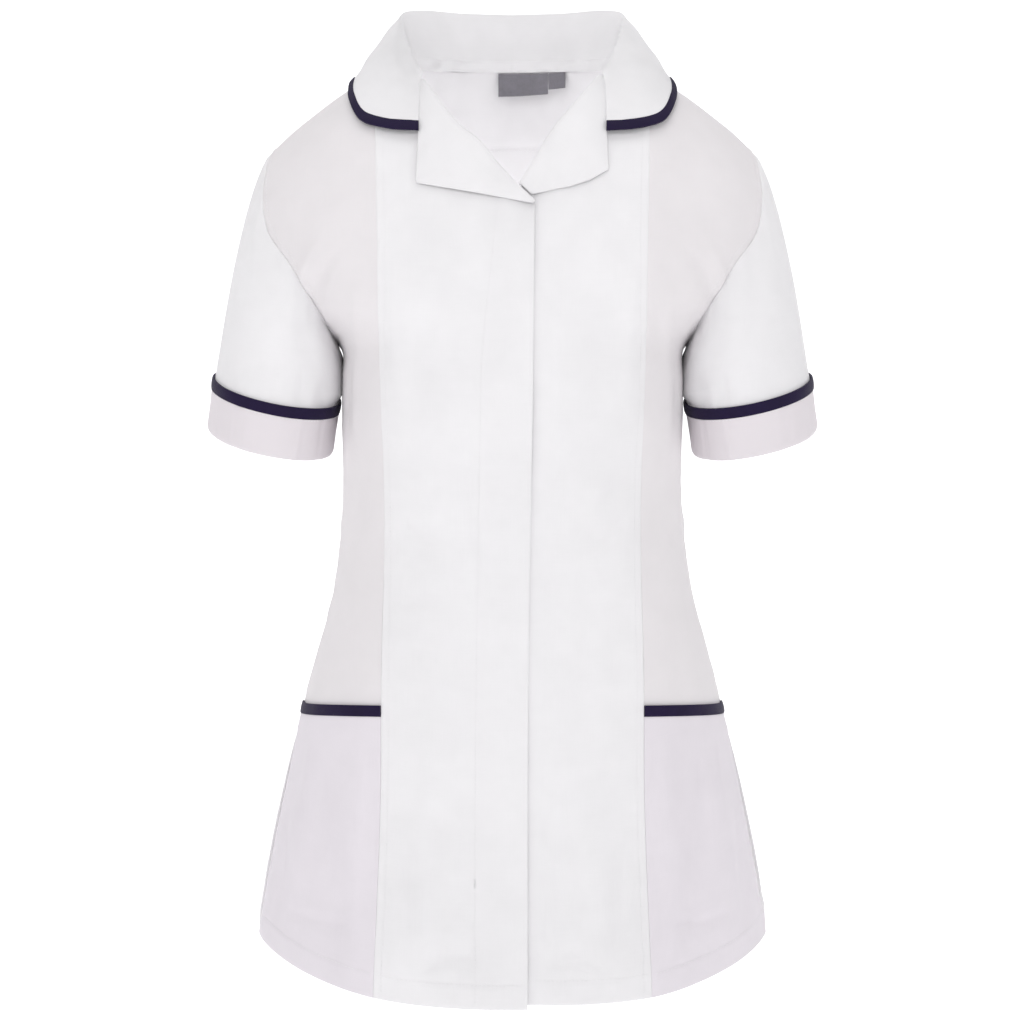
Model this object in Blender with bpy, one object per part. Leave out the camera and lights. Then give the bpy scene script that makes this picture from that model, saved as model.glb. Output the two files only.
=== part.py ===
"""Short sleeved medical tunic, filled out and hollow.

Metres, +Z up. The front faces -Y, and the wearer's left is +X. The origin is at the neck, level with the
nape seam, where the wearer's shoulders hold the garment. "Right" and "left" are the wearer's.
"""

import bpy
import numpy as np

# Cloth walls and seams
CLOTH = 0.0012
FOLDED = 0.0016
TRIM = 0.0018
LABEL = 0.0010
SEAM = 0.0003
TRIM_WIDTH = 0.009

# Roundness of the torso's sections, from 2 for an ellipse to more for a box
ROUND = 2.3

# Torso by height: height, half width, front depth, back depth
TORSO = [
    (0.010, 0.2300, 0.1120, 0.1080),
    (-0.100, 0.2240, 0.1130, 0.1080),
    (-0.145, 0.2160, 0.1160, 0.1080),
    (-0.173, 0.2040, 0.1180, 0.1075),
    (-0.205, 0.1760, 0.1195, 0.1065),
    (-0.233, 0.1420, 0.1195, 0.1045),
    (-0.262, 0.1383, 0.1190, 0.1010),
    (-0.300, 0.1379, 0.1160, 0.0950),
    (-0.360, 0.1382, 0.1090, 0.0870),
    (-0.400, 0.1415, 0.1070, 0.0865),
    (-0.442, 0.1480, 0.1085, 0.0900),
    (-0.475, 0.1570, 0.1110, 0.0960),
    (-0.508, 0.1662, 0.1145, 0.1020),
    (-0.541, 0.1742, 0.1180, 0.1075),
    (-0.573, 0.1812, 0.1205, 0.1110),
    (-0.606, 0.1878, 0.1225, 0.1135),
    (-0.639, 0.1946, 0.1245, 0.1150),
    (-0.672, 0.2012, 0.1265, 0.1165),
    (-0.708, 0.2070, 0.1285, 0.1180),
    (-0.760, 0.2095, 0.1300, 0.1190),
]

# Shoulder ridge: distance from the centre, height
RIDGE = [
    (0.000, -0.0045),
    (0.083, -0.0045),
    (0.100, -0.0075),
    (0.118, -0.0150),
    (0.136, -0.0260),
    (0.1625, -0.0457),
    (0.187, -0.0660),
    (0.1975, -0.0765),
    (0.210, -0.0900),
    (0.240, -0.1250),
]
NECK_HALF = 0.083
NAPE_RISE = 0.075
NAPE_HEIGHT = 0.004
ROUND_OVER_NECK = 0.055
ROUND_OVER_TIP = 0.030

# Armhole from the shoulder tip to the underarm: distance from the centre, height
ARMHOLE = [
    (0.1975, -0.0765),
    (0.2003, -0.1180),
    (0.1955, -0.1450),
    (0.1765, -0.1730),
    (0.1580, -0.2050),
    (0.1420, -0.2330),
]
UNDERARM = -0.233

# Princess seam: height, distance from the centre
PRINCESS = [
    (0.000, 0.1098),
    (-0.0674, 0.1085),
    (-0.126, 0.1066),
    (-0.180, 0.1053),
    (-0.237, 0.1048),
    (-0.283, 0.1034),
    (-0.330, 0.1015),
    (-0.376, 0.1008),
    (-0.423, 0.1011),
    (-0.470, 0.1021),
    (-0.508, 0.1025),
    (-0.593, 0.1018),
    (-0.640, 0.1024),
    (-0.671, 0.1034),
    (-0.702, 0.1058),
    (-0.7474, 0.1098),
]

# Closing edge of the overlapping front: height, distance past the centre
CLOSING = [
    (-0.133, 0.0180),
    (-0.196, 0.0170),
    (-0.298, 0.0155),
    (-0.500, 0.0123),
    (-0.640, 0.0114),
    (-0.760, 0.0114),
]
UNDERLAP = 0.022
FLY_RAISE = 0.0004
FLY_DEPTH = 0.0026
UNDER_DROP = -0.0029
UNDER_DROP_SPAN = (0.0360, 0.0195)

# Front columns: share of the way from the princess seam to the closing edge, place along the top edge
RIGHT_COLUMNS = [
    (0.00, 0.1093),
    (0.12, 0.0980),
    (0.24, 0.0830),
    (0.36, 0.0735),
    (0.48, 0.0580),
    (0.60, 0.0400),
    (0.672, 0.0310),
    (0.690, 0.0285),
    (0.80, 0.0130),
    (0.90, -0.0020),
    (1.00, -0.0175),
]
FLY_FROM = 0.68
LEFT_COLUMNS = [
    (0.00, 0.1093),
    (0.12, 0.0980),
    (0.23, 0.0830),
    (0.34, 0.0725),
    (0.45, 0.0560),
    (0.552, 0.0420),
    (0.672, 0.0260),
    (0.80, 0.0080),
    (1.00, -0.0200),
]

# Neckline and roll line of each front: distance from the centre, height
RIGHT_ROLL = [
    (0.0830, -0.0045),
    (0.0800, -0.0150),
    (0.0735, -0.0235),
    (0.0630, -0.0400),
    (0.0450, -0.0640),
    (0.0260, -0.0805),
    (0.0100, -0.0990),
    (-0.0050, -0.1162),
    (-0.0175, -0.1305),
]
LEFT_ROLL = [
    (0.0830, -0.0045),
    (0.0790, -0.0110),
    (0.0725, -0.0190),
    (0.0600, -0.0350),
    (0.0450, -0.0545),
    (0.0300, -0.0745),
    (0.0170, -0.0960),
    (0.0050, -0.1165),
    (-0.0200, -0.1400),
]
ROLL_REACH = 0.27

# Hem and levels below the underarm
SIDE_HEM = -0.708
FRONT_HEM_DROP = 0.0432
UNDER_HEM_RISE = 0.0032
BACK_HEM_DROP = 0.037
HEM_HALF = 0.207
HEM_CURVE = 2.8
POCKET_TOP = -0.5215
POCKET_DIP = 0.0040
POCKET_TRIM_END = POCKET_TOP - TRIM_WIDTH
POCKET_SINK = 0.0012
VENT_TOP = -0.546
VENT_SPREAD = 0.012
VENT_INSET = 0.0050
VENT_FLARE = 0.0026

# Yoke seam: height at the centre, and how much lower it meets the armhole
YOKE_SEAM = -0.0605
YOKE_FALL = 0.0645

# Sleeve end: centre, half width, half depth, tilt and pitch in degrees, and the cuff below it
SLEEVE_END = np.array([0.1921, -0.005, -0.2693])
SLEEVE_HALF_WIDTH = 0.0513
SLEEVE_HALF_DEPTH = 0.0603
SLEEVE_TILT = 12.2
SLEEVE_PITCH = 13.5
ARM_LINE = np.array([0.131, 0.0, -0.991])
CUFF_LENGTH = 0.0422
CUFF_TAPER = 0.0014
CUFF_STEP = 0.0005
CUFF_TURN = 0.003

# Lapels: share of the roll line, distance from the centre and height of the outer edge
RIGHT_LAPEL = [
    (0.00, 0.0722, -0.0275),
    (0.14, 0.0724, -0.0480),
    (0.30, 0.0726, -0.0690),
    (0.46, 0.0742, -0.0920),
    (0.62, 0.0755, -0.1135),
    (0.82, 0.0290, -0.1220),
    (1.00, -0.0165, -0.1308),
]
LEFT_LAPEL = [
    (0.00, 0.0722, -0.0235),
    (0.14, 0.0725, -0.0460),
    (0.28, 0.0728, -0.0670),
    (0.41, 0.0740, -0.0850),
    (0.54, 0.0752, -0.1022),
    (0.64, 0.0605, -0.1110),
    (0.76, 0.0440, -0.1168),
    (0.88, 0.0285, -0.1196),
    (1.00, 0.0146, -0.1219),
]
LAPEL_SPAN_RIGHT = (0.0725, -0.0165)
LAPEL_SPAN_LEFT = (0.0715, 0.0066)
LAPEL_SOFT = 0.0030
LAPEL_RIM = 0.0023
LAPEL_LIFT = 0.0010

# Collar by station from the nape to its front end: seam, roll, middle of the leaf and leaf edge, each x, y, z
COLLAR = [
    ((0.0000, 0.0738, 0.0046), (0.0000, 0.0840, 0.0550), (0.0000, 0.0955, 0.0160), (0.0000, 0.0925, -0.0200)),
    ((0.0300, 0.0685, 0.0040), (0.0450, 0.0790, 0.0550), (0.0520, 0.0895, 0.0160), (0.0580, 0.0800, -0.0215)),
    ((0.0550, 0.0500, 0.0022), (0.0780, 0.0590, 0.0530), (0.0985, 0.0640, 0.0190), (0.1050, 0.0500, -0.0230)),
    ((0.0735, 0.0260, -0.0012), (0.0915, 0.0330, 0.0440), (0.1170, 0.0330, 0.0130), (0.1270, 0.0200, -0.0222)),
    ((0.0815, 0.0070, -0.0026), (0.0880, 0.0130, 0.0270), (0.1130, 0.0060, 0.0050), (0.1316, -0.0110, -0.0201)),
    ((0.0815, -0.0120, -0.0068), (0.0828, -0.0060, 0.0100), (0.1050, -0.0270, -0.0090), (0.1310, -0.0450, -0.0400)),
    ((0.0795, -0.0255, -0.0130), (0.0782, -0.0200, -0.0025), (0.0950, -0.0480, -0.0260), (0.1180, -0.0690, -0.0610)),
    ((0.0770, -0.0330, -0.0165), (0.0760, -0.0280, -0.0090), (0.0840, -0.0570, -0.0355), (0.0970, -0.0780, -0.0675)),
    ((0.0745, -0.0395, -0.0200), (0.0739, -0.0345, -0.0145), (0.0742, -0.0630, -0.0420), (0.0738, -0.0805, -0.0695)),
]
COLLAR_STEPS = 13
ROLL_RADIUS_BACK = 0.0035
ROLL_RADIUS_FRONT = 0.0024
BINDING_WIDTH = 0.0085
BINDING_STEPS = 9

# Label and tab: from the nape seam down, each from one side to the other
LABEL_SPAN = (-0.0120, 0.0300)
LABEL_DROP = (0.0015, -0.0180)
TAB_SPAN = (0.0304, 0.0446)
TAB_DROP = (0.0012, -0.0125)

# How many steps each grid takes
UPPER_ROWS = 10
BACK_UPPER_ROWS = 8
YOKE_ROWS = 3
SIDE_COLUMNS = 6
BACK_COLUMNS = 16
SLEEVE_RINGS = 9

WHITE = (0.86, 0.85, 0.87, 1.0)
NAVY = (0.016, 0.012, 0.045, 1.0)
GREY = (0.22, 0.21, 0.21, 1.0)


def curve(table, at, column=1):
    """Smooth value of one column of a table, read at a value of its first column."""
    rows = np.array(sorted(table), dtype=float)
    places = rows[:, 0]
    values = rows[:, column]
    slopes = np.gradient(values, places)
    at = np.clip(at, places[0], places[-1])
    low = np.clip(np.searchsorted(places, at) - 1, 0, len(places) - 2)
    step = places[low + 1] - places[low]
    t = (at - places[low]) / step
    start = values[low] * (2 * t**3 - 3 * t**2 + 1) + slopes[low] * step * (t**3 - 2 * t**2 + t)
    end = values[low + 1] * (3 * t**2 - 2 * t**3) + slopes[low + 1] * step * (t**3 - t**2)
    return start + end


def route(points, shares):
    """Points at these shares of the length of a smooth curve through a few points."""
    points = np.array(points, dtype=float)
    along = np.concatenate([[0], np.cumsum(np.linalg.norm(np.diff(points, axis=0), axis=1))])
    at = np.asarray(shares) * along[-1]
    columns = [curve(list(zip(along, points[:, k])), at) for k in range(points.shape[1])]
    return np.stack(columns, axis=-1)


def smooth_step(value):
    value = np.clip(value, 0, 1)
    return value * value * (3 - 2 * value)


def unit(vectors):
    return vectors / np.maximum(np.linalg.norm(vectors, axis=-1, keepdims=True), 1e-12)


# The torso's form


def round_over(face, x, z):
    """How far out the cloth has come, from 0 on the shoulder ridge to 1 well below it."""
    x = np.abs(x)
    ridge = curve(RIDGE, x)
    if face > 0:
        ridge = ridge + NAPE_RISE * np.clip(1 - (x / NECK_HALF) ** 2, 0, 1) ** 1.3
    share = np.clip((x - NECK_HALF) / (RIDGE[7][0] - NECK_HALF), 0, 1)
    softness = ROUND_OVER_NECK + (ROUND_OVER_TIP - ROUND_OVER_NECK) * share
    return 1 - np.exp(-((np.maximum(ridge - z, 0) / softness) ** 0.75))


def depth(face, x, z):
    """How far the cloth stands from the side plane, in front where face is -1 and behind where it is 1."""
    full = curve(TORSO, z, 2 if face < 0 else 3)
    across = np.clip(np.abs(x) / curve(TORSO, z), 0, 1)
    return face * full * (1 - across**ROUND) ** (1 / ROUND) * round_over(face, x, z)


def outward(face, points):
    """Unit direction straight out of the torso's cloth at these points."""

    def level(place):
        x, y, z = np.moveaxis(place, -1, 0)
        full = curve(TORSO, z, 2 if face < 0 else 3) * np.maximum(round_over(face, x, z), 0.02)
        return (np.abs(x) / curve(TORSO, z)) ** ROUND + (np.abs(y) / full) ** ROUND

    small = 1e-4
    steps = np.eye(3) * small
    slope = [level(points + step) - level(points - step) for step in steps]
    return unit(np.stack(slope, axis=-1))


def spread(start, end, half, shares):
    """Places from start to end, closer together where the section turns away at its side."""
    first = np.arcsin(np.clip(start / half, -1, 1))
    last = np.arcsin(np.clip(end / half, -1, 1))
    return half * np.sin(first + (last - first) * shares)


def hem_drop(face, x, level, rise=0.0):
    """How much lower a row runs than at the side, nothing at the vent's top and all of it at the hem."""
    drop = FRONT_HEM_DROP if face < 0 else BACK_HEM_DROP
    share = np.clip((VENT_TOP - level) / (VENT_TOP - SIDE_HEM), 0, 1) ** 1.5
    curved = -drop * (1 - np.clip(np.abs(x) / HEM_HALF, 0, 1) ** HEM_CURVE)
    return (curved + rise * np.clip(1 - (x / PRINCESS[-1][1]) ** 2, 0, 1)) * share


def pocket_dip(x, level, half):
    """How much the rows about the pocket's mouth fall towards the side, so that the mouth looks level."""
    above = smooth_step((UNDERARM - level) / (UNDERARM - POCKET_TOP))
    below = smooth_step((level - SIDE_HEM) / (POCKET_TRIM_END - SIDE_HEM))
    return POCKET_DIP * above * below * np.clip(x / half, 0, 1) ** 4


def lower_levels():
    """Side heights of the rows from the underarm to the hem."""
    stretches = [
        (UNDERARM, POCKET_TOP, 8),
        (POCKET_TOP, POCKET_TRIM_END, 1),
        (POCKET_TRIM_END, VENT_TOP, 1),
        (VENT_TOP, SIDE_HEM, 4),
    ]
    rows = [np.linspace(top, end, count + 1)[1:] for top, end, count in stretches]
    return np.concatenate(rows)


def armhole(shares):
    return route(ARMHOLE, shares)


def princess_levels():
    """Heights of the upper rows at the princess seam, from the shoulder to the underarm's level."""
    top = curve(RIDGE, PRINCESS[0][1]) - 0.0003
    return np.linspace(top, UNDERARM, UPPER_ROWS + 1)


def side_front_grid():
    """Side front, own side positive: rows from the shoulder to the hem, columns from the princess seam outward."""
    shares = np.linspace(0, 1, SIDE_COLUMNS + 1)
    edge = armhole(np.linspace(0, 1, UPPER_ROWS + 1))
    rows = []
    for k, level in enumerate(princess_levels()):
        z = level + (edge[k, 1] - level) * shares
        x = spread(curve(PRINCESS, level), edge[k, 0], max(curve(TORSO, z[-1]), edge[k, 0]), shares)
        if k == 0:
            z = curve(RIDGE, x)
        rows.append(np.stack([x, depth(-1, x, z), z], axis=-1))
    for level in lower_levels():
        half = curve(TORSO, level)
        x = spread(curve(PRINCESS, level), half, half, shares)
        z = level + hem_drop(-1, x, level) - pocket_dip(x, level, half)
        x = x * curve(TORSO, z) / half
        rows.append(np.stack([x, depth(-1, x, z), z], axis=-1))
    grid = np.array(rows)
    grid[0, :, 1] = 0
    grid[UPPER_ROWS:, -1, 1] = 0
    return grid


def front_grid(columns, roll, closing, rise=0.0):
    """One front, own side positive: rows from the shoulder and roll line to the hem, columns to the closing edge."""
    table = np.array(columns)
    shares, tops = table[:, 0], table[:, 1]
    neck = sorted(roll)
    top_z = np.where(tops > NECK_HALF - 0.0005, curve(RIDGE, np.abs(tops)), curve(neck, tops))
    levels = np.concatenate([princess_levels(), lower_levels()])
    rows = []
    for k, level in enumerate(levels):
        below = levels[0] - level
        fade = max(0.0, 1 - below / ROLL_REACH)
        seam = curve(PRINCESS, level)
        z = level + (top_z - top_z[0]) * fade
        edge = closing(z)
        x = seam + (edge - seam) * shares
        top_seam = curve(PRINCESS, levels[0])
        x = x + (tops - top_seam - (closing(top_z) - top_seam) * shares) * fade
        lower = z + hem_drop(-1, x, level, rise)
        x = x * curve(TORSO, lower) / curve(TORSO, z)
        rows.append(np.stack([x, depth(-1, x, lower), lower], axis=-1))
    grid = np.array(rows)
    ridge = tops > NECK_HALF - 0.0005
    grid[0, ridge, 1] = 0
    return grid


def right_closing(z):
    return -curve(CLOSING, z)


def left_closing(z):
    return -UNDERLAP + 0 * z


def back_grid():
    """Back below the yoke, full width: rows from the yoke seam to the hem."""
    shares = np.linspace(-1, 1, BACK_COLUMNS + 1)
    from_yoke = np.linspace(yoke_share(), 1, BACK_UPPER_ROWS)
    edge = armhole(from_yoke)
    centre = np.linspace(YOKE_SEAM, UNDERARM + 0.02, len(edge))
    rows = []
    for (reach, low), middle in zip(edge, centre):
        z = middle + (low - middle) * shares**2
        x = spread(-reach, reach, max(curve(TORSO, low), reach), (shares + 1) / 2)
        rows.append(np.stack([x, depth(1, x, z), z], axis=-1))
    for level in lower_levels():
        half = curve(TORSO, level)
        x = spread(-half, half, half, (shares + 1) / 2)
        lift = 0.02 * (1 - shares**2) * np.clip((level - POCKET_TOP) / (UNDERARM - POCKET_TOP), 0, 1)
        z = level + lift + hem_drop(1, x, level)
        x = x * curve(TORSO, z) / half
        rows.append(np.stack([x, depth(1, x, z), z], axis=-1))
    grid = np.array(rows)
    grid[len(edge) - 1 :, [0, -1], 1] = 0
    return grid


def yoke_share():
    """Share of the armhole's length at which the yoke seam meets it."""
    shares = np.linspace(0, 1, 200)
    heights = armhole(shares)[:, 1]
    return float(np.interp(YOKE_SEAM - YOKE_FALL, heights[::-1], shares[::-1]))


def yoke_grid(back):
    """Yoke, full width: rows from the neck and shoulder seams to the yoke seam, columns as on the back."""
    bottom = back[0]
    tip = armhole(0.0)
    top_x = bottom[:, 0] / bottom[-1, 0] * tip[0]
    near = np.argmin(np.abs(np.abs(top_x)[:, None] - NECK_HALF), axis=0)
    for column in (near[0], BACK_COLUMNS - near[0]):
        top_x[column] = np.sign(top_x[column]) * NECK_HALF
    on_neck = np.abs(top_x) < NECK_HALF - 0.0005
    neck_z = NAPE_HEIGHT + (curve(RIDGE, NECK_HALF) - NAPE_HEIGHT) * (np.abs(top_x) / NECK_HALF) ** 2
    top_z = np.where(on_neck, neck_z, curve(RIDGE, np.abs(top_x)))
    edge = armhole(np.linspace(0, yoke_share(), YOKE_ROWS + 1))
    rows = []
    for k, share in enumerate(np.linspace(0, 1, YOKE_ROWS + 1)):
        x = top_x + (bottom[:, 0] - top_x) * share
        z = top_z + (bottom[:, 2] - top_z) * share
        x[[0, -1]] = [-edge[k, 0], edge[k, 0]]
        z[[0, -1]] = edge[k, 1]
        rows.append(np.stack([x, depth(1, x, z), z], axis=-1))
    grid = np.array(rows)
    grid[0, ~on_neck, 1] = 0
    grid[-1] = bottom
    return grid


# Walls


def grid_facing(grid, ring=False):
    """Unit normals of a grid of points, by the slopes along its rows and columns."""
    down = np.gradient(grid, axis=0)
    if ring:
        across = np.roll(grid, -1, axis=1) - np.roll(grid, 1, axis=1)
    else:
        across = np.gradient(grid, axis=1)
    return unit(np.cross(down, across))


def material(name, colour, roughness):
    made = bpy.data.materials.new(name)
    made.use_nodes = True
    shader = made.node_tree.nodes["Principled BSDF"]
    shader.inputs["Base Color"].default_value = colour
    shader.inputs["Roughness"].default_value = roughness
    shader.inputs["Metallic"].default_value = 0.0
    return made


def wall(name, outer, facing, thickness, colour, roughness=0.85, ring=False):
    """A closed solid between a grid of outer points and the same points moved in by the thickness."""
    thickness = np.broadcast_to(np.asarray(thickness, dtype=float), outer.shape[:2])
    inner = outer - facing * thickness[..., None]
    rows, columns = outer.shape[:2]
    count = rows * columns
    spans = columns if ring else columns - 1
    faces = []
    for r in range(rows - 1):
        for c in range(spans):
            a, b = r * columns + c, r * columns + (c + 1) % columns
            faces.append((a, b, b + columns, a + columns))
            faces.append((a + count, a + columns + count, b + columns + count, b + count))
    for c in range(spans):
        a, b = c, (c + 1) % columns
        faces.append((a, a + count, b + count, b))
        a, b = a + (rows - 1) * columns, b + (rows - 1) * columns
        faces.append((a, b, b + count, a + count))
    if not ring:
        for r in range(rows - 1):
            a, b = r * columns, (r + 1) * columns
            faces.append((a, b, b + count, a + count))
            a, b = a + columns - 1, b + columns - 1
            faces.append((a, a + count, b + count, b))
    points = np.concatenate([outer.reshape(-1, 3), inner.reshape(-1, 3)])
    volume = sum(np.dot(points[f[0]], np.cross(points[f[k]], points[f[k + 1]])) for f in faces for k in (1, 2))
    if volume < 0:
        faces = [face[::-1] for face in faces]
    mesh = bpy.data.meshes.new(name)
    mesh.from_pydata(points.tolist(), [], faces)
    mesh.materials.append(material(name, colour, roughness))
    mesh.shade_smooth()
    mesh.set_sharp_from_angle(angle=np.radians(50))
    piece = bpy.data.objects.new(name, mesh)
    bpy.context.scene.collection.objects.link(piece)
    return piece


def side_name(side):
    return "left" if side > 0 else "right"


# Torso panels


def armhole_frame(front, back_edge):
    """Armhole loop, its facing and its outward way, from the tip down the front and up the back."""
    loop = np.concatenate([front, back_edge[::-1][1:-1]])
    along = np.roll(loop, -1, axis=0) - np.roll(loop, 1, axis=0)
    middle = loop.mean(axis=0)
    tip_way = np.array([0.75, 0.0, -0.66])
    under_way = np.array([1.0, 0.0, 0.0])
    share = smooth_step((loop[0, 2] - loop[:, 2]) / (loop[0, 2] - UNDERARM))
    away = unit(tip_way + (under_way - tip_way) * share[:, None])
    facing = unit(np.cross(along, away))
    facing = facing * np.sign(np.sum(facing * (loop - middle), axis=1, keepdims=True).sum())
    return loop, facing, away


def build_torso():
    side = side_front_grid()
    right = front_grid(RIGHT_COLUMNS, RIGHT_ROLL, right_closing)
    left = front_grid(LEFT_COLUMNS, LEFT_ROLL, left_closing, UNDER_HEM_RISE)
    back = back_grid()
    yoke = yoke_grid(back)
    upper_back = BACK_UPPER_ROWS
    back_edge = np.concatenate([yoke[:, -1], back[1:upper_back, -1]])
    loop, facing, away = armhole_frame(side[: UPPER_ROWS + 1, -1], back_edge)
    for end in (0, UPPER_ROWS):
        facing[end, 1] = 0
    facing = unit(facing)

    # Side fronts
    side_facing = outward(-1, side)
    side_facing[0] = ridge_facing(side[0, :, 0])
    side_facing[UPPER_ROWS:, -1, 1] = 0
    side_facing[: UPPER_ROWS + 1, -1] = facing[: UPPER_ROWS + 1]
    side_facing = unit(side_facing)
    panel = side.copy()
    panel[:, 0, 0] += SEAM / 2
    panel[0, :, 1] -= SEAM / 2
    panel[UPPER_ROWS:, -1, 1] -= SEAM / 2
    panel[: UPPER_ROWS + 1, -1] -= away[: UPPER_ROWS + 1] * SEAM * 0.75
    open_vent(panel, -1)
    for hand in (-1, 1):
        turn = np.array([hand, 1, 1])
        name = side_name(hand)
        under = sunk(panel, side_facing)
        wall(f"side_front_{name}", under * turn, side_facing * turn, CLOTH, WHITE)
        build_pocket(name, under * turn, side_facing * turn)

    # Fronts
    for name, grid, hand, table in (("right", right, -1, RIGHT_COLUMNS), ("left", left, 1, LEFT_COLUMNS)):
        turn = np.array([hand, 1, 1])
        normals = outward(-1, grid)
        on_ridge = grid[0, :, 1] == 0
        normals[0, on_ridge] = ridge_facing(grid[0, on_ridge, 0])
        shares = np.array(table)[:, 0]
        raised, thickness = front_layers(hand, shares, grid)
        grid = grid + normals * raised[..., None]
        grid[:, 0, 0] -= SEAM / 2
        grid[0, on_ridge, 1] -= SEAM / 2
        wall(f"front_{name}", grid * turn, normals * turn, thickness, WHITE)

    # Yoke
    yoke_out = outward(1, yoke)
    on_ridge = yoke[0, :, 1] == 0
    yoke_out[0, on_ridge] = ridge_facing(yoke[0, on_ridge, 0])
    back_out = outward(1, back)
    back_out[upper_back - 1 :, [0, -1], 1] = 0
    yoke_out[-1] = back_out[0]
    count = len(loop)
    yoke_at = [0] + [count - k for k in range(1, len(yoke))]
    back_at = [count - len(yoke) + 1 - k for k in range(upper_back)]
    for grid_out, places in ((yoke_out, yoke_at), (back_out, back_at)):
        for row, place in enumerate(places):
            grid_out[row, -1] = facing[place]
            grid_out[row, 0] = facing[place] * np.array([-1, 1, 1])
    yoke_panel = yoke.copy()
    back_panel = back.copy()
    yoke_panel[0, on_ridge, 1] += SEAM / 2
    yoke_panel[-1, :, 2] += SEAM / 2
    back_panel[0, :, 2] -= SEAM / 2
    back_panel[upper_back - 1 :, [0, -1], 1] += SEAM / 2
    for grid, places in ((yoke_panel, yoke_at), (back_panel, back_at)):
        for row, place in enumerate(places):
            grid[row, -1] -= away[place] * SEAM * 0.75
            grid[row, 0] -= away[place] * np.array([-1, 1, 1]) * SEAM * 0.75
    open_vent(back_panel, 1)
    wall("back_yoke", yoke_panel, unit(yoke_out), CLOTH, WHITE)
    wall("back", back_panel, unit(back_out), CLOTH, WHITE)
    return loop, facing, away, yoke_panel


def ridge_facing(x):
    """Up and out of the shoulder seam, with no lean to the front or the back."""
    small = 1e-4
    slope = (curve(RIDGE, np.abs(x) + small) - curve(RIDGE, np.abs(x) - small)) / (2 * small)
    return unit(np.stack([-slope * np.sign(x), 0 * x, 1 + 0 * x], axis=-1))


def open_vent(panel, face):
    """Parts the side edges below the vent's top: the front's edge turns in and the back's flares past it."""
    edges = (-1,) if face < 0 else (0, -1)
    for edge in edges:
        z = panel[:, edge, 2]
        share = np.clip((VENT_TOP - z) / (VENT_TOP - SIDE_HEM), 0, 1)
        side = np.sign(panel[:, edge, 0])
        if face < 0:
            panel[:, edge, 1] -= VENT_SPREAD * share
            panel[:, edge, 0] -= side * VENT_INSET * np.sqrt(share)
        else:
            panel[:, edge, 1] -= SEAM * share
            panel[:, edge, 0] += side * VENT_FLARE * 4 * share * (1 - share)


def front_layers(hand, shares, grid):
    """How far a front stands out of the torso's form, and its thickness, over its grid."""
    rows = len(grid)
    if hand < 0:
        fly = np.where(shares > FLY_FROM, 1.0, 0.0)
        return np.tile(fly * FLY_RAISE, (rows, 1)), np.tile(CLOTH + fly * (FLY_DEPTH - CLOTH), (rows, 1))
    return left_offset(grid[..., 0]), CLOTH


def left_offset(x):
    """The left front dips where it passes under the right one."""
    start, full = UNDER_DROP_SPAN
    return UNDER_DROP * smooth_step((start - x) / (start - full))


def sunk(panel, facing):
    """The side front, a cloth's thickness lower where the pocket lies over it."""
    made = panel.copy()
    made[pocket_row(POCKET_TOP) :] -= facing[pocket_row(POCKET_TOP) :] * POCKET_SINK
    return made


def pocket_row(height):
    """Row of the side front's grid that runs at this side height."""
    return UPPER_ROWS + 1 + int(np.argmin(np.abs(lower_levels() - height)))


def build_pocket(name, panel, facing):
    """Pocket from its mouth to the hem and the binding along its mouth, lying on the side front."""
    top, seam = pocket_row(POCKET_TOP), pocket_row(POCKET_TRIM_END)
    bag, band = slice(seam, None), slice(top, seam + 1)
    rows = inset_ends(panel[bag] + facing[bag] * (SEAM + CLOTH))
    wall(f"pocket_{name}", rows, facing[bag], CLOTH, WHITE)
    rows = inset_ends(panel[band] + facing[band] * (SEAM + TRIM))
    rows[-1] += unit(rows[0] - rows[-1]) * SEAM
    wall(f"pocket_trim_{name}", rows, facing[band], TRIM, NAVY, 0.7)


def inset_ends(grid):
    """Draws the first and last columns in a little, so that a patch stays inside its panel's seams."""
    made = grid.copy()
    made[:, 0] += (grid[:, 1] - grid[:, 0]) * 0.02
    made[:, -1] += (grid[:, -2] - grid[:, -1]) * 0.04
    return made


# Sleeves and cuffs


def sleeve_end(angles, grow=0.0, below=0.0):
    """Ring at the sleeve's end or this far below it: its outer end first, then its front."""
    tilt, pitch = np.radians(SLEEVE_TILT), np.radians(SLEEVE_PITCH)
    grow = grow - CUFF_TAPER * below / CUFF_LENGTH
    wide = np.array([np.cos(tilt), 0, np.sin(tilt)]) * (SLEEVE_HALF_WIDTH + grow)
    deep = np.array([0, -np.cos(pitch), -np.sin(pitch)]) * (SLEEVE_HALF_DEPTH + grow)
    centre = SLEEVE_END + ARM_LINE * below
    return centre + np.cos(angles)[:, None] * wide + np.sin(angles)[:, None] * deep


def loop_angles(loop):
    """Angle round the sleeve's end for each armhole point, by its share of the front's or the back's length."""
    under = UPPER_ROWS
    steps = np.linalg.norm(np.diff(np.concatenate([loop, loop[:1]]), axis=0), axis=1)
    along = np.concatenate([[0], np.cumsum(steps)])
    front = along[: under + 1] / along[under] * np.pi
    back = np.pi + (along[under:-1] - along[under]) / (along[-1] - along[under]) * np.pi
    return np.concatenate([front, back[1:]])


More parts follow.
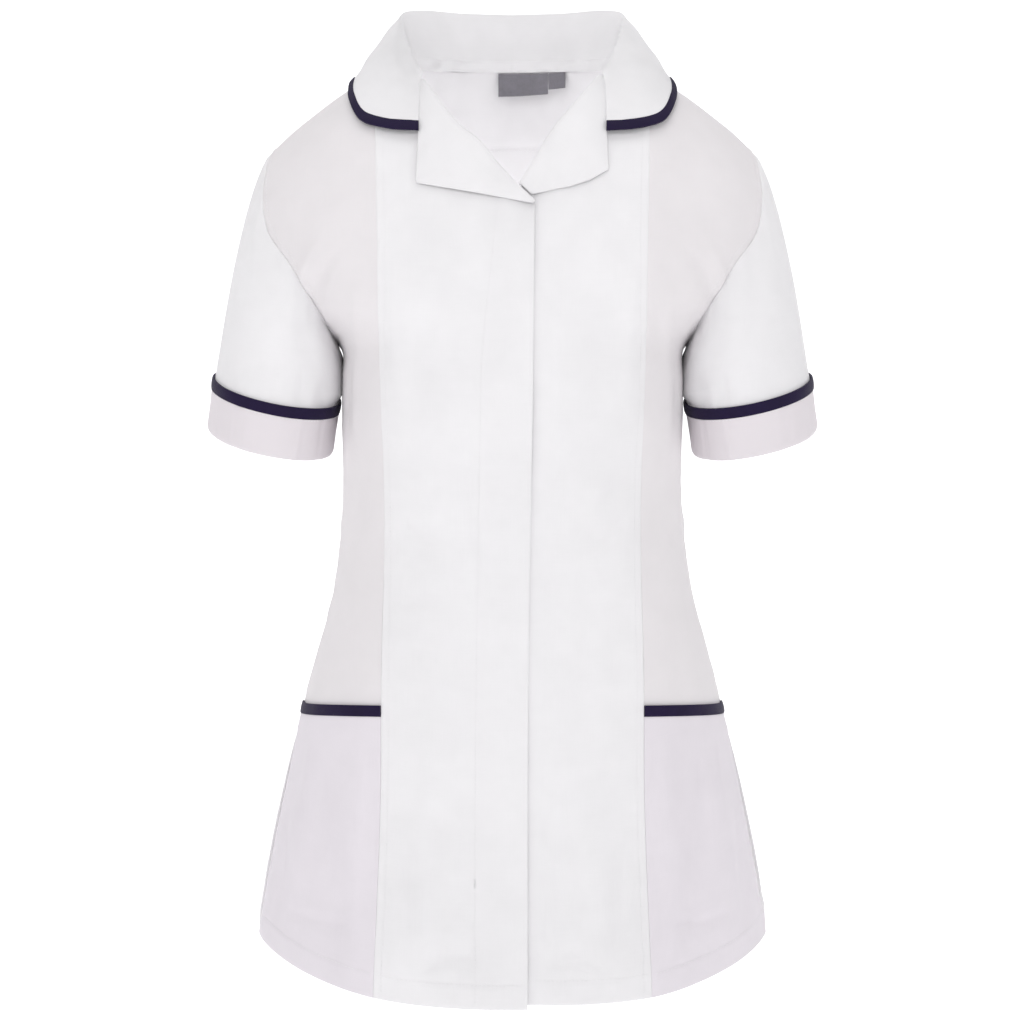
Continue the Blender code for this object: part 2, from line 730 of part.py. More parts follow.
def build_sleeves(loop, facing, away):
    angles = loop_angles(loop)
    start = loop + away * SEAM * 0.75
    end = sleeve_end(angles)
    reach = np.linalg.norm(end - start, axis=1)[:, None]
    turn = (1 - np.cos(angles)) / 2
    lean = np.radians(48 + 42 * turn)
    first = np.stack([np.cos(lean), 0 * lean, -np.sin(lean)], axis=-1) * reach * 0.40
    last = ARM_LINE * reach * 1.0
    rings = []
    for t in np.linspace(0, 1, SLEEVE_RINGS + 1) ** 1.15:
        ring = start * (2 * t**3 - 3 * t**2 + 1) + first * (t**3 - 2 * t**2 + t)
        ring = ring + end * (3 * t**2 - 2 * t**3) + last * (t**3 - t**2)
        rings.append(ring)
    inside_cuff = CUFF_LENGTH - CUFF_TURN
    rings.append(sleeve_end(angles, below=inside_cuff / 2))
    rings.append(sleeve_end(angles, below=inside_cuff))
    grid = np.array(rings)
    normals = grid_facing(grid, ring=True)
    outside = np.sign(np.sum(normals[-1] * (grid[-1] - grid[-1].mean(axis=0))))
    normals = normals * outside
    normals[0] = facing
    cuff_rows = (TRIM_WIDTH, TRIM_WIDTH + 0.012, CUFF_LENGTH)
    cuff = np.array([sleeve_end(angles, CUFF_STEP + FOLDED, below) for below in cuff_rows])
    band = np.array([sleeve_end(angles, CUFF_STEP + TRIM, below) for below in (0.0, TRIM_WIDTH - SEAM)])
    round_out = unit(end - SLEEVE_END)
    for side in (-1, 1):
        turned = np.array([side, 1, 1])
        name = side_name(side)
        wall(f"sleeve_{name}", grid * turned, normals * turned, CLOTH, WHITE, ring=True)
        out = np.tile(round_out, (len(cuff), 1, 1))
        wall(f"cuff_{name}", cuff * turned, out * turned, FOLDED, WHITE, ring=True)
        out = np.tile(round_out, (len(band), 1, 1))
        wall(f"cuff_trim_{name}", band * turned, out * turned, TRIM, NAVY, 0.7, ring=True)


# Lapels


def build_lapel(hand, roll, edge_table, span):
    """A leaf folded back over its front along the roll line."""
    steps = 8
    shares = np.linspace(0, 1, steps + 1)
    line = [point for point in roll if span[1] - 0.02 < point[0] < NECK_HALF - 0.002]
    fold_x = span[0] + (span[1] - span[0]) * shares
    fold = np.stack([fold_x, curve(sorted(line), fold_x)], axis=-1)
    edge = np.stack([curve(edge_table, shares, 1), curve(edge_table, shares, 2)], axis=-1)
    along = unit(np.gradient(fold, axis=0))
    into = np.stack([-along[:, 1], along[:, 0]], axis=-1)
    into *= np.sign(np.sum(into * (fold.mean(axis=0) - edge.mean(axis=0))))

    def on_front(place):
        x, z = place[..., 0], place[..., 1]
        points = np.stack([x, depth(-1, x, z), z], axis=-1)
        normals = outward(-1, points)
        lift = left_offset(x) if hand > 0 else FLY_RAISE + 0 * x
        return points + normals * lift[..., None], normals

    seat, normals = on_front(fold)
    opening = np.stack([into[:, 0], 0 * shares, into[:, 1]], axis=-1)
    opening = unit(opening - normals * np.sum(opening * normals, axis=-1, keepdims=True))
    half = CLOTH * normals
    columns = [seat + opening * LAPEL_RIM - half, seat + opening * (LAPEL_RIM - 0.0001) + half]
    facings = [opening, unit(opening + normals * 0.6)]
    for share in (0.0, 0.16, 0.36, 0.58, 0.8, 1.0):
        place = fold + (edge - fold) * share
        points, normal = on_front(place)
        width = np.linalg.norm(edge - fold, axis=1)
        soft = LAPEL_SOFT * np.sin(np.pi * share) ** 0.7 * np.clip(width / 0.03, 0.2, 1)
        columns.append(points + normal * (FOLDED + LAPEL_LIFT + soft)[..., None])
        facings.append(normal)
    grid = np.stack(columns, axis=1)
    out = np.stack(facings, axis=1)
    turn = np.array([hand, 1, 1])
    wall(f"lapel_{side_name(hand)}", grid * turn, out * turn, FOLDED, WHITE)


# Collar


def collar_stations(shares):
    """Seam, roll, middle and edge points at these shares of the way from the nape to the front end."""
    table = np.array(COLLAR)
    return [route(table[:, k], shares) for k in range(4)]


def collar_side(shares):
    """Rows of points across the collar on one side, the leaf's last width apart for the binding."""
    seam, roll, middle, edge = collar_stations(shares)
    sheet = []
    for k in range(len(shares)):
        radius = ROLL_RADIUS_BACK + (ROLL_RADIUS_FRONT - ROLL_RADIUS_BACK) * smooth_step(shares[k] * 1.4 - 0.4)
        out = middle[k] - roll[k]
        down = unit(out + 2 * (seam[k] - roll[k]) * 0.5)
        out = unit(out - down * np.dot(out, down))
        inside = roll[k] - out * radius + down * radius * 0.9
        outside = roll[k] + out * radius + down * radius * 0.9
        bend = 2 * middle[k] - (outside + edge[k]) / 2
        fine = np.linspace(0, 1, 60)[:, None]
        leaf = outside * (1 - fine) ** 2 + bend * 2 * fine * (1 - fine) + edge[k] * fine**2
        length = np.concatenate([[0], np.cumsum(np.linalg.norm(np.diff(leaf, axis=0), axis=1))])
        leaf_end = length[-1] - TRIM_WIDTH
        stops = [*np.linspace(0, leaf_end, 4)[1:], leaf_end + SEAM * 1.5, length[-1]]
        leaf_points = [[np.interp(stop, length, leaf[:, axis]) for axis in range(3)] for stop in stops]
        sheet.append([seam[k], (seam[k] + inside) / 2, inside, roll[k], outside] + leaf_points)
    return np.array(sheet)


def build_collar():
    shares = np.linspace(0, 1, COLLAR_STEPS + 1)
    half = collar_side(shares)
    whole = np.concatenate([half[:0:-1] * np.array([-1, 1, 1]), half])
    facing = -grid_facing(whole)
    centre = len(whole) // 2
    if facing[centre, -1, 1] < 0:
        facing = -facing
    wall("collar", whole[:, :8], facing[:, :8], FOLDED, WHITE)
    band = whole[:, 8:] + facing[:, 8:] * 0.0002
    wall("collar_trim", band, facing[:, 8:], TRIM, NAVY, 0.7)
    return whole, facing


def build_binding(collar, facing):
    """Tape on the inside of the stand, over the neck seam."""
    middle = len(collar) // 2
    part = slice(middle - BINDING_STEPS, middle + BINDING_STEPS + 1)
    low, high = collar[part, 0], collar[part, 1]
    up = unit(high - low)
    out = facing[part, 0:1]
    rise = np.minimum(BINDING_WIDTH, np.linalg.norm(high - low, axis=1) * 0.9)[:, None]
    lift = facing[part, 0] * (SEAM * 2 + LABEL)
    grid = np.stack([low + lift + up * 0.0004, low + lift + up * rise], axis=1)
    wall("neck_binding", grid, np.repeat(out, 2, axis=1), LABEL, WHITE)


def build_label(name, span, drop, columns, yoke):
    """A bare label hanging straight down from the neck seam, inside the yoke."""
    x = np.linspace(*span, columns + 1)
    edge = np.interp(x, yoke[0, :, 0], yoke[0, :, 1]) - CLOTH - SEAM * 1.5
    x, z = np.meshgrid(x, np.linspace(*drop, 3))
    grid = np.stack([x, np.broadcast_to(edge, x.shape), z], axis=-1)
    wall(name, grid, np.broadcast_to([0.0, 1.0, 0.0], grid.shape), LABEL, GREY, 0.6)


def build():
    for piece in list(bpy.data.objects):
        bpy.data.objects.remove(piece, do_unlink=True)
    loop, facing, away, yoke = build_torso()
    build_sleeves(loop, facing, away)
    build_lapel(-1, RIGHT_ROLL, RIGHT_LAPEL, LAPEL_SPAN_RIGHT)
    build_lapel(1, LEFT_ROLL, LEFT_LAPEL, LAPEL_SPAN_LEFT)
    collar, collar_out = build_collar()
    build_binding(collar, collar_out)
    build_label("label", LABEL_SPAN, LABEL_DROP, 4, yoke)
    build_label("size_tab", TAB_SPAN, TAB_DROP, 2, yoke)


build()
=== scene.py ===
"""Looks of a short sleeved medical tunic: fine cloth shells, stitching, finishes and a plain pale stage.

Metres, +Z up. The front faces -Y and the wearer's left is +X. "Right" and "left" are the wearer's. Every
shell follows the form of the CAD piece that it replaces, with the listed creases laid on.
"""

import bpy
import numpy as np
from bpy.props import FloatProperty, FloatVectorProperty, PointerProperty
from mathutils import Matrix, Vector


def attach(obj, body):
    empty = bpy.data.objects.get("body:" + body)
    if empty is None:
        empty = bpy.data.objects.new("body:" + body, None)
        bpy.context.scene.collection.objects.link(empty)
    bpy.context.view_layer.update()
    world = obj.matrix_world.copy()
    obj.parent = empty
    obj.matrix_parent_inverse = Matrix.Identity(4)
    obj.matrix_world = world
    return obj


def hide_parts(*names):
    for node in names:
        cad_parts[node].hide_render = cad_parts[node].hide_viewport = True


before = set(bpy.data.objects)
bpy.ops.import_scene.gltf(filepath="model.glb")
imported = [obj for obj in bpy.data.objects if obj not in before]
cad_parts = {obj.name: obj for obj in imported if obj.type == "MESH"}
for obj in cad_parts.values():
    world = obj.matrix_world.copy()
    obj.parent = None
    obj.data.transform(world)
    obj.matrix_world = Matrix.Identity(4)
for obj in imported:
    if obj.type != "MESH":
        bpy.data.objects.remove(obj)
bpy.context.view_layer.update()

bl_info = {
    "name": "Medical tunic",
    "version": (1, 0, 0),
    "blender": (4, 5, 0),
    "location": "View3D > Sidebar > Tunic",
    "description": "Builds a short sleeved medical tunic as fine cloth shells over its packed solids",
    "category": "Add Mesh",
}

# Walls of single and folded cloth, binding and label, a seam's gap as cut and as shown, width of the bindings
CLOTH = 0.0012
FOLDED = 0.0016
TRIM = 0.0018
LABEL = 0.0010
SEAM = 0.0003
SHOWN_SEAM = 0.00004
TRIM_WIDTH = 0.009

# Roundness of the torso's sections, from 2 for an ellipse to more for a box
ROUND = 2.3

# Torso by height: height, half width, front depth, back depth
TORSO = [
    (0.010, 0.2300, 0.1120, 0.1080),
    (-0.100, 0.2240, 0.1130, 0.1080),
    (-0.145, 0.2160, 0.1160, 0.1080),
    (-0.173, 0.2040, 0.1180, 0.1075),
    (-0.205, 0.1760, 0.1195, 0.1065),
    (-0.233, 0.1420, 0.1195, 0.1045),
    (-0.262, 0.1383, 0.1190, 0.1010),
    (-0.300, 0.1379, 0.1160, 0.0950),
    (-0.360, 0.1382, 0.1090, 0.0870),
    (-0.400, 0.1415, 0.1070, 0.0865),
    (-0.442, 0.1480, 0.1085, 0.0900),
    (-0.475, 0.1570, 0.1110, 0.0960),
    (-0.508, 0.1662, 0.1145, 0.1020),
    (-0.541, 0.1742, 0.1180, 0.1075),
    (-0.573, 0.1812, 0.1205, 0.1110),
    (-0.606, 0.1878, 0.1225, 0.1135),
    (-0.639, 0.1946, 0.1245, 0.1150),
    (-0.672, 0.2012, 0.1265, 0.1165),
    (-0.708, 0.2070, 0.1285, 0.1180),
    (-0.760, 0.2095, 0.1300, 0.1190),
]

# Shoulder ridge: distance from the centre, height
RIDGE = [
    (0.000, -0.0045),
    (0.083, -0.0045),
    (0.100, -0.0075),
    (0.118, -0.0150),
    (0.136, -0.0260),
    (0.1625, -0.0457),
    (0.187, -0.0660),
    (0.1975, -0.0765),
    (0.210, -0.0900),
    (0.240, -0.1250),
]
NECK_HALF = 0.083
TIP_HALF = 0.1975
NAPE_RISE = 0.075
NAPE_HEIGHT = 0.004
ROUND_OVER_NECK = 0.055
ROUND_OVER_TIP = 0.030

# Armhole from the shoulder tip to the underarm: distance from the centre, height
ARMHOLE = [
    (0.1975, -0.0765),
    (0.2003, -0.1180),
    (0.1955, -0.1450),
    (0.1765, -0.1730),
    (0.1580, -0.2050),
    (0.1420, -0.2330),
]
UNDERARM = -0.233

# Princess seam: height, distance from the centre
PRINCESS = [
    (0.000, 0.1098),
    (-0.0674, 0.1085),
    (-0.126, 0.1066),
    (-0.180, 0.1053),
    (-0.237, 0.1048),
    (-0.283, 0.1034),
    (-0.330, 0.1015),
    (-0.376, 0.1008),
    (-0.423, 0.1011),
    (-0.470, 0.1021),
    (-0.508, 0.1025),
    (-0.593, 0.1018),
    (-0.640, 0.1024),
    (-0.671, 0.1034),
    (-0.702, 0.1058),
    (-0.7474, 0.1098),
]

# Closing edge of the overlapping front: height, distance past the centre
CLOSING = [
    (-0.133, 0.0180),
    (-0.196, 0.0170),
    (-0.298, 0.0155),
    (-0.500, 0.0123),
    (-0.640, 0.0114),
    (-0.760, 0.0114),
]

# Fastening: reach of the left front past the centre, then the fly band's rise, thickness, width and bar, and how
# far and where the left front dips under it
UNDERLAP = 0.022
FLY_RAISE = 0.0004
FLY_DEPTH = 0.0026
FLY_WIDTH = 0.0405
FLY_BAR = -0.655
UNDER_DROP = -0.0029
UNDER_DROP_SPAN = (0.0360, 0.0195)

# Front columns: share of the way from the princess seam to the closing edge, place along the top edge
RIGHT_COLUMNS = [
    (0.00, 0.1093),
    (0.12, 0.0980),
    (0.24, 0.0830),
    (0.36, 0.0735),
    (0.48, 0.0580),
    (0.60, 0.0400),
    (0.69, 0.0285),
    (0.80, 0.0130),
    (0.90, -0.0020),
    (1.00, -0.0175),
]
LEFT_COLUMNS = [
    (0.00, 0.1093),
    (0.12, 0.0980),
    (0.23, 0.0830),
    (0.34, 0.0725),
    (0.45, 0.0560),
    (0.552, 0.0420),
    (0.672, 0.0260),
    (0.80, 0.0080),
    (1.00, -0.0200),
]

# Neckline and roll line of each front: distance from the centre, height
RIGHT_ROLL = [
    (0.0830, -0.0045),
    (0.0800, -0.0150),
    (0.0735, -0.0235),
    (0.0630, -0.0400),
    (0.0450, -0.0640),
    (0.0260, -0.0805),
    (0.0120, -0.0990),
    (-0.0025, -0.1162),
    (-0.0175, -0.1305),
]
LEFT_ROLL = [
    (0.0830, -0.0045),
    (0.0790, -0.0110),
    (0.0725, -0.0190),
    (0.0600, -0.0350),
    (0.0450, -0.0545),
    (0.0300, -0.0745),
    (0.0170, -0.0960),
    (0.0050, -0.1165),
    (-0.0200, -0.1400),
]
ROLL_REACH = 0.27

# Hem and levels below the underarm
SIDE_HEM = -0.708
FRONT_HEM_DROP = 0.0432
UNDER_HEM_RISE = 0.0032
BACK_HEM_DROP = 0.037
HEM_HALF = 0.207
HEM_CURVE = 2.8
HEM_FOLD = 0.0185

# Pockets: height of the mouth at the princess seam, its fall to the side, end of the binding, sink of the side
# front under the bag, the bag's fullness and depth, and how far its two sides stay inside the seams
POCKET_TOP = -0.5215
POCKET_DIP = 0.0040
POCKET_TRIM_END = POCKET_TOP - TRIM_WIDTH
POCKET_SINK = 0.0012
POCKET_FULLNESS = 0.0016
POCKET_DEPTH = 0.165
POCKET_INSET_FIRST = 0.00006
POCKET_INSET_LAST = 0.0008

# Side vents: top, how far the front's edge comes forward and in, and how far the back's flares past it. Then the
# fullness of the side seam below the underarm.
VENT_TOP = -0.546
VENT_SPREAD = 0.012
VENT_INSET = 0.0050
VENT_FLARE = 0.0026
SIDE_FULL = 0.0010

# Yoke seam: height at the centre, and how much lower it meets the armhole
YOKE_SEAM = -0.0605
YOKE_FALL = 0.0645

# Sleeve end: centre, half width, half depth, tilt and pitch in degrees, fullness of the sleeve's inner side and
# of its front corner, and the cuff below it
SLEEVE_END = np.array([0.1921, -0.005, -0.2693])
SLEEVE_HALF_WIDTH = 0.0513
SLEEVE_HALF_DEPTH = 0.0603
SLEEVE_TILT = 12.2
SLEEVE_PITCH = 13.5
SLEEVE_INNER = 0.0028
SLEEVE_CORNER = 0.0035
ARM_LINE = np.array([0.131, 0.0, -0.991])
CUFF_LENGTH = 0.0422
CUFF_TAPER = 0.0014
CUFF_STEP = 0.0005
CUFF_TURN = 0.003

# Lapels: share of the roll line, distance from the centre and height of the outer edge
RIGHT_LAPEL = [
    (0.00, 0.0744, -0.0275),
    (0.14, 0.0753, -0.0480),
    (0.27, 0.0752, -0.0655),
    (0.30, 0.0744, -0.0690),
    (0.46, 0.0747, -0.0920),
    (0.62, 0.0755, -0.1135),
    (0.82, 0.0290, -0.1220),
    (1.00, -0.0165, -0.1308),
]
LEFT_LAPEL = [
    (0.00, 0.0744, -0.0235),
    (0.14, 0.0753, -0.0460),
    (0.25, 0.0752, -0.0640),
    (0.28, 0.0744, -0.0680),
    (0.41, 0.0746, -0.0850),
    (0.54, 0.0752, -0.1022),
    (0.64, 0.0605, -0.1110),
    (0.76, 0.0440, -0.1168),
    (0.88, 0.0285, -0.1196),
    (1.00, 0.0146, -0.1219),
]

# Ends of the roll line that each lapel folds along, then its fullness, the fold's reach past the line and its rise
LAPEL_SPAN_RIGHT = (0.0725, -0.0165)
LAPEL_SPAN_LEFT = (0.0715, 0.0066)
LAPEL_SOFT = 0.0020
LAPEL_RIM = 0.0023
LAPEL_LIFT = 0.0010

# Collar by station from the nape to its front end: seam, roll, middle of the leaf and leaf edge, each x, y, z
COLLAR = [
    ((0.0000, 0.0738, 0.0046), (0.0000, 0.0840, 0.0550), (0.0000, 0.0955, 0.0160), (0.0000, 0.0925, -0.0200)),
    ((0.0300, 0.0685, 0.0040), (0.0450, 0.0790, 0.0550), (0.0520, 0.0895, 0.0160), (0.0580, 0.0800, -0.0215)),
    ((0.0550, 0.0500, 0.0022), (0.0780, 0.0590, 0.0530), (0.0985, 0.0640, 0.0190), (0.1050, 0.0500, -0.0230)),
    ((0.0735, 0.0260, -0.0012), (0.0915, 0.0330, 0.0440), (0.1170, 0.0330, 0.0130), (0.1270, 0.0200, -0.0222)),
    ((0.0815, 0.0070, -0.0026), (0.0880, 0.0130, 0.0270), (0.1130, 0.0060, 0.0050), (0.1316, -0.0110, -0.0201)),
    ((0.0815, -0.0120, -0.0068), (0.0828, -0.0060, 0.0100), (0.1050, -0.0270, -0.0090), (0.1310, -0.0450, -0.0400)),
    ((0.0795, -0.0255, -0.0130), (0.0782, -0.0200, -0.0025), (0.0950, -0.0480, -0.0260), (0.1180, -0.0690, -0.0610)),
    ((0.0770, -0.0330, -0.0165), (0.0760, -0.0280, -0.0090), (0.0840, -0.0570, -0.0355), (0.0970, -0.0780, -0.0675)),
    ((0.0745, -0.0395, -0.0200), (0.0739, -0.0345, -0.0145), (0.0742, -0.0630, -0.0420), (0.0738, -0.0805, -0.0695)),
]

# Collar's bend at the roll behind and in front, columns before its binding, and stations of one side
ROLL_RADIUS_BACK = 0.0021
ROLL_RADIUS_FRONT = 0.0013
LEAF_END = 54
COLLAR_STATIONS = 74

# Neck tape: width, reach as a share of the collar's side, start from the seam, and columns of the stand behind it
BINDING_WIDTH = 0.0085
BINDING_REACH = 9 / 13
TAPE_START = -0.0020
TAPE_COLUMNS = 6

# Label and tab: from the nape seam down, each from one side to the other
LABEL_SPAN = (-0.0120, 0.0300)
LABEL_DROP = (0.0015, -0.0180)
TAB_SPAN = (0.0304, 0.0446)
TAB_DROP = (0.0012, -0.0125)

# Fineness of the shells: points drawn in from each cut edge, and steps of each grid
EDGE_POINTS = np.array([0.0004, 0.0009, 0.0015, 0.0022, 0.0031, 0.0043, 0.0060, 0.0082])
EDGE_ROUND = 0.0011
UPPER_ROWS = 52
LOWER_ROWS = 104
HEM_ROWS = 9
SIDE_COLUMNS = 26
FRONT_COLUMNS = 30
BACK_COLUMNS = 92
SLEEVE_RINGS = 58

# Stitching: width and sides of a thread, rise of its seat above the cloth, distances from the edges, and one
# stitch as places along it, each with its thickness and its rise
STITCH_WIDTH = 0.00042
STITCH_SIDES = 5
THREAD_RISE = 0.0001
EDGE_STITCH = 0.0017
TOP_STITCH = 0.0062
STITCH_PROFILE = [(-0.5, 0.25, -0.6), (-0.3, 0.9, 0.05), (0.0, 1.0, 0.25), (0.3, 0.9, 0.05), (0.5, 0.25, -0.6)]

# The photograph's view: its size and centre column, in pixels
PHOTO_SIZE = 1024
PHOTO_CENTRE = 511.5

# How wide the key and front lights shine, in degrees
LIGHT_SPREAD = 64


# Curves and small sums


def glide(t, start, end, leave, arrive):
    """Place at t, from 0 to 1, on a smooth way from a start to an end, with its slope at each."""
    begun = start * (2 * t**3 - 3 * t**2 + 1) + leave * (t**3 - 2 * t**2 + t)
    return begun + (end * (3 * t**2 - 2 * t**3) + arrive * (t**3 - t**2))


def curve(table, at, column=1):
    """Smooth value of one column of a table, read at a value of its first column."""
    rows = np.array(sorted(table), dtype=float)
    places = rows[:, 0]
    values = rows[:, column]
    slopes = np.gradient(values, places)
    at = np.clip(at, places[0], places[-1])
    low = np.clip(np.searchsorted(places, at) - 1, 0, len(places) - 2)
    step = places[low + 1] - places[low]
    t = (at - places[low]) / step
    return glide(t, values[low], values[low + 1], slopes[low] * step, slopes[low + 1] * step)


def route(points, shares):
    """Points at these shares of the length of a smooth curve through a few points."""
    points = np.array(points, dtype=float)
    along = np.concatenate([[0], np.cumsum(np.linalg.norm(np.diff(points, axis=0), axis=1))])
    at = np.asarray(shares) * along[-1]
    columns = [curve(list(zip(along, points[:, k])), at) for k in range(points.shape[1])]
    return np.stack(columns, axis=-1)


def smooth_step(value):
    value = np.clip(value, 0, 1)
    return value * value * (3 - 2 * value)


def bell(distance, width):
    return np.exp(-((distance / width) ** 2))


def unit(vectors):
    return vectors / np.maximum(np.linalg.norm(vectors, axis=-1, keepdims=True), 1e-12)


def waves(seed, u, v, lengths, count=14, stretch=1.0):
    """Smooth uneven field between about -1 and 1, made of waves, longer along v by stretch."""
    draw = np.random.default_rng(seed)
    field = np.zeros(np.broadcast(u, v).shape)
    for _ in range(count):
        length = draw.uniform(*lengths)
        angle = draw.uniform(0, np.pi)
        phase = draw.uniform(0, 2 * np.pi)
        field += np.sin(2 * np.pi / length * (u * np.cos(angle) + v / stretch * np.sin(angle)) + phase)
    return field / np.sqrt(count)


def with_edges(count, width, first=True, last=True):
    """Even shares of a width, with more of them drawn in close to its cut edges."""
    inner = np.linspace(0, 1, count + 1)
    near = EDGE_POINTS / width
    keep = np.ones(len(inner), bool)
    parts = []
    if first:
        keep &= (inner <= 0) | (inner > near[-1] + 0.4 / count)
        parts.append(near)
    if last:
        keep &= (inner >= 1) | (inner < 1 - near[-1] - 0.4 / count)
        parts.append(1 - near)
    return np.unique(np.concatenate([inner[keep]] + parts))


# The torso's form


def round_over(face, x, z):
    """How far out the cloth has come, from 0 on the shoulder ridge to 1 well below it."""
    x = np.abs(x)
    ridge = curve(RIDGE, x)
    if face > 0:
        ridge = ridge + NAPE_RISE * np.clip(1 - (x / NECK_HALF) ** 2, 0, 1) ** 1.3
    share = np.clip((x - NECK_HALF) / (TIP_HALF - NECK_HALF), 0, 1)
    softness = ROUND_OVER_NECK + (ROUND_OVER_TIP - ROUND_OVER_NECK) * share
    return 1 - np.exp(-((np.maximum(ridge - z, 0) / softness) ** 0.75))


def depth(face, x, z):
    """How far the cloth stands from the side plane, in front where face is -1 and behind where it is 1."""
    full = curve(TORSO, z, 2 if face < 0 else 3)
    across = np.clip(np.abs(x) / curve(TORSO, z), 0, 1)
    return face * full * (1 - across**ROUND) ** (1 / ROUND) * round_over(face, x, z)


def outward(face, points):
    """Unit direction straight out of the torso's cloth at these points."""

    def level(place):
        x, y, z = np.moveaxis(place, -1, 0)
        full = curve(TORSO, z, 2 if face < 0 else 3) * np.maximum(round_over(face, x, z), 0.02)
        return (np.abs(x) / curve(TORSO, z)) ** ROUND + (np.abs(y) / full) ** ROUND

    small = 1e-4
    steps = np.eye(3) * small
    slope = [level(points + step) - level(points - step) for step in steps]
    return unit(np.stack(slope, axis=-1))


def ridge_facing(x):
    """Up and out of the shoulder seam, with no lean to the front or the back."""
    small = 1e-4
    slope = (curve(RIDGE, np.abs(x) + small) - curve(RIDGE, np.abs(x) - small)) / (2 * small)
    return unit(np.stack([-slope * np.sign(x), 0 * x, 1 + 0 * x], axis=-1))


def spread(start, end, half, shares):
    """Places from start to end, closer together where the section turns away at its side."""
    first = np.arcsin(np.clip(start / half, -1, 1))
    last = np.arcsin(np.clip(end / half, -1, 1))
    return half * np.sin(first + (last - first) * shares)


def hem_drop(face, x, level, rise=0.0):
    """How much lower a row runs than at the side, nothing at the vent's top and all of it at the hem."""
    drop = FRONT_HEM_DROP if face < 0 else BACK_HEM_DROP
    share = np.clip((VENT_TOP - level) / (VENT_TOP - SIDE_HEM), 0, 1) ** 1.5
    curved = -drop * (1 - np.clip(np.abs(x) / HEM_HALF, 0, 1) ** HEM_CURVE)
    return (curved + rise * np.clip(1 - (x / PRINCESS[-1][1]) ** 2, 0, 1)) * share


def pocket_dip(x, level, half):
    """How much the rows about the pocket's mouth fall towards the side, so that the mouth looks level."""
    above = smooth_step((UNDERARM - level) / (UNDERARM - POCKET_TOP))
    below = smooth_step((level - SIDE_HEM) / (POCKET_TRIM_END - SIDE_HEM))
    return POCKET_DIP * above * below * np.clip(x / half, 0, 1) ** 4


def lower_levels():
    """Side heights of the rows from the underarm to the hem, with more of them in the hem's fold."""
    main = np.linspace(UNDERARM, SIDE_HEM + HEM_FOLD + 0.004, LOWER_ROWS + 1)[1:]
    fold = np.linspace(main[-1], SIDE_HEM + EDGE_POINTS[-1], HEM_ROWS)[1:]
    return np.concatenate([main, fold, SIDE_HEM + EDGE_POINTS[-2::-1], [SIDE_HEM]])


def armhole(shares):
    return route(ARMHOLE, shares)


def princess_levels():
    """Heights of the upper rows at the princess seam, from the shoulder to the underarm's level."""
    top = curve(RIDGE, PRINCESS[0][1]) - 0.0003
    return np.linspace(top, UNDERARM, UPPER_ROWS + 1)


def all_levels():
    """Height of every row of a front at the princess seam, before the hem's drop."""
    return np.concatenate([princess_levels(), lower_levels()])


def side_front_grid():
    """Side front, own side positive: rows from shoulder to hem, columns from the princess seam outward."""
    shares = with_edges(SIDE_COLUMNS, 0.10)
    edge = armhole(np.linspace(0, 1, UPPER_ROWS + 1))
    rows = []
    for k, level in enumerate(princess_levels()):
        z = level + (edge[k, 1] - level) * shares
        x = spread(curve(PRINCESS, level), edge[k, 0], max(curve(TORSO, z[-1]), edge[k, 0]), shares)
        z = z + (curve(RIDGE, x) - z) * max(0.0, 1 - k / 8) ** 2
        rows.append(np.stack([x, depth(-1, x, z), z], axis=-1))
    for level in lower_levels():
        half = curve(TORSO, level)
        x = spread(curve(PRINCESS, level), half, half, shares)
        z = level + hem_drop(-1, x, level) - pocket_dip(x, level, half)
        x = x * curve(TORSO, z) / half
        rows.append(np.stack([x, depth(-1, x, z), z], axis=-1))
    grid = np.array(rows)
    grid[0, :, 1] = 0
    grid[UPPER_ROWS:, -1, 1] = 0
    return grid


def front_grid(columns, roll, closing, rise=0.0):
    """One front, own side positive: rows from shoulder and roll line to hem, columns to the closing edge."""
    table = np.array(columns)
    shares = with_edges(FRONT_COLUMNS, 0.115)
    tops = np.interp(shares, table[:, 0], table[:, 1])
    neck = sorted(roll)
    top_z = np.where(tops > NECK_HALF - 0.0005, curve(RIDGE, np.abs(tops)), curve(neck, tops))
    levels = all_levels()
    top_seam = curve(PRINCESS, levels[0])
    tops = tops + (top_seam - tops[0]) * np.clip(1 - shares / 0.1, 0, 1)
    rows = []
    for level in levels:
        fade = max(0.0, 1 - (levels[0] - level) / ROLL_REACH)
        z = level + (top_z - top_z[0]) * fade
        seam = curve(PRINCESS, level)
        x = seam + (closing(z) - seam) * shares
        x = x + (tops - top_seam - (closing(top_z) - top_seam) * shares) * fade
        lower = z + hem_drop(-1, x, level, rise)
        x = x * curve(TORSO, lower) / curve(TORSO, z)
        rows.append(np.stack([x, depth(-1, x, lower), lower], axis=-1))
    grid = np.array(rows)
    grid[0, tops > NECK_HALF - 0.0005, 1] = 0
    return grid


def right_closing(z):
    return -curve(CLOSING, z)


def left_closing(z):
    return -UNDERLAP + 0 * z


def yoke_share():
    """Share of the armhole's length at which the yoke seam meets it."""
    shares = np.linspace(0, 1, 200)
    heights = armhole(shares)[:, 1]
    return float(np.interp(YOKE_SEAM - YOKE_FALL, heights[::-1], shares[::-1]))


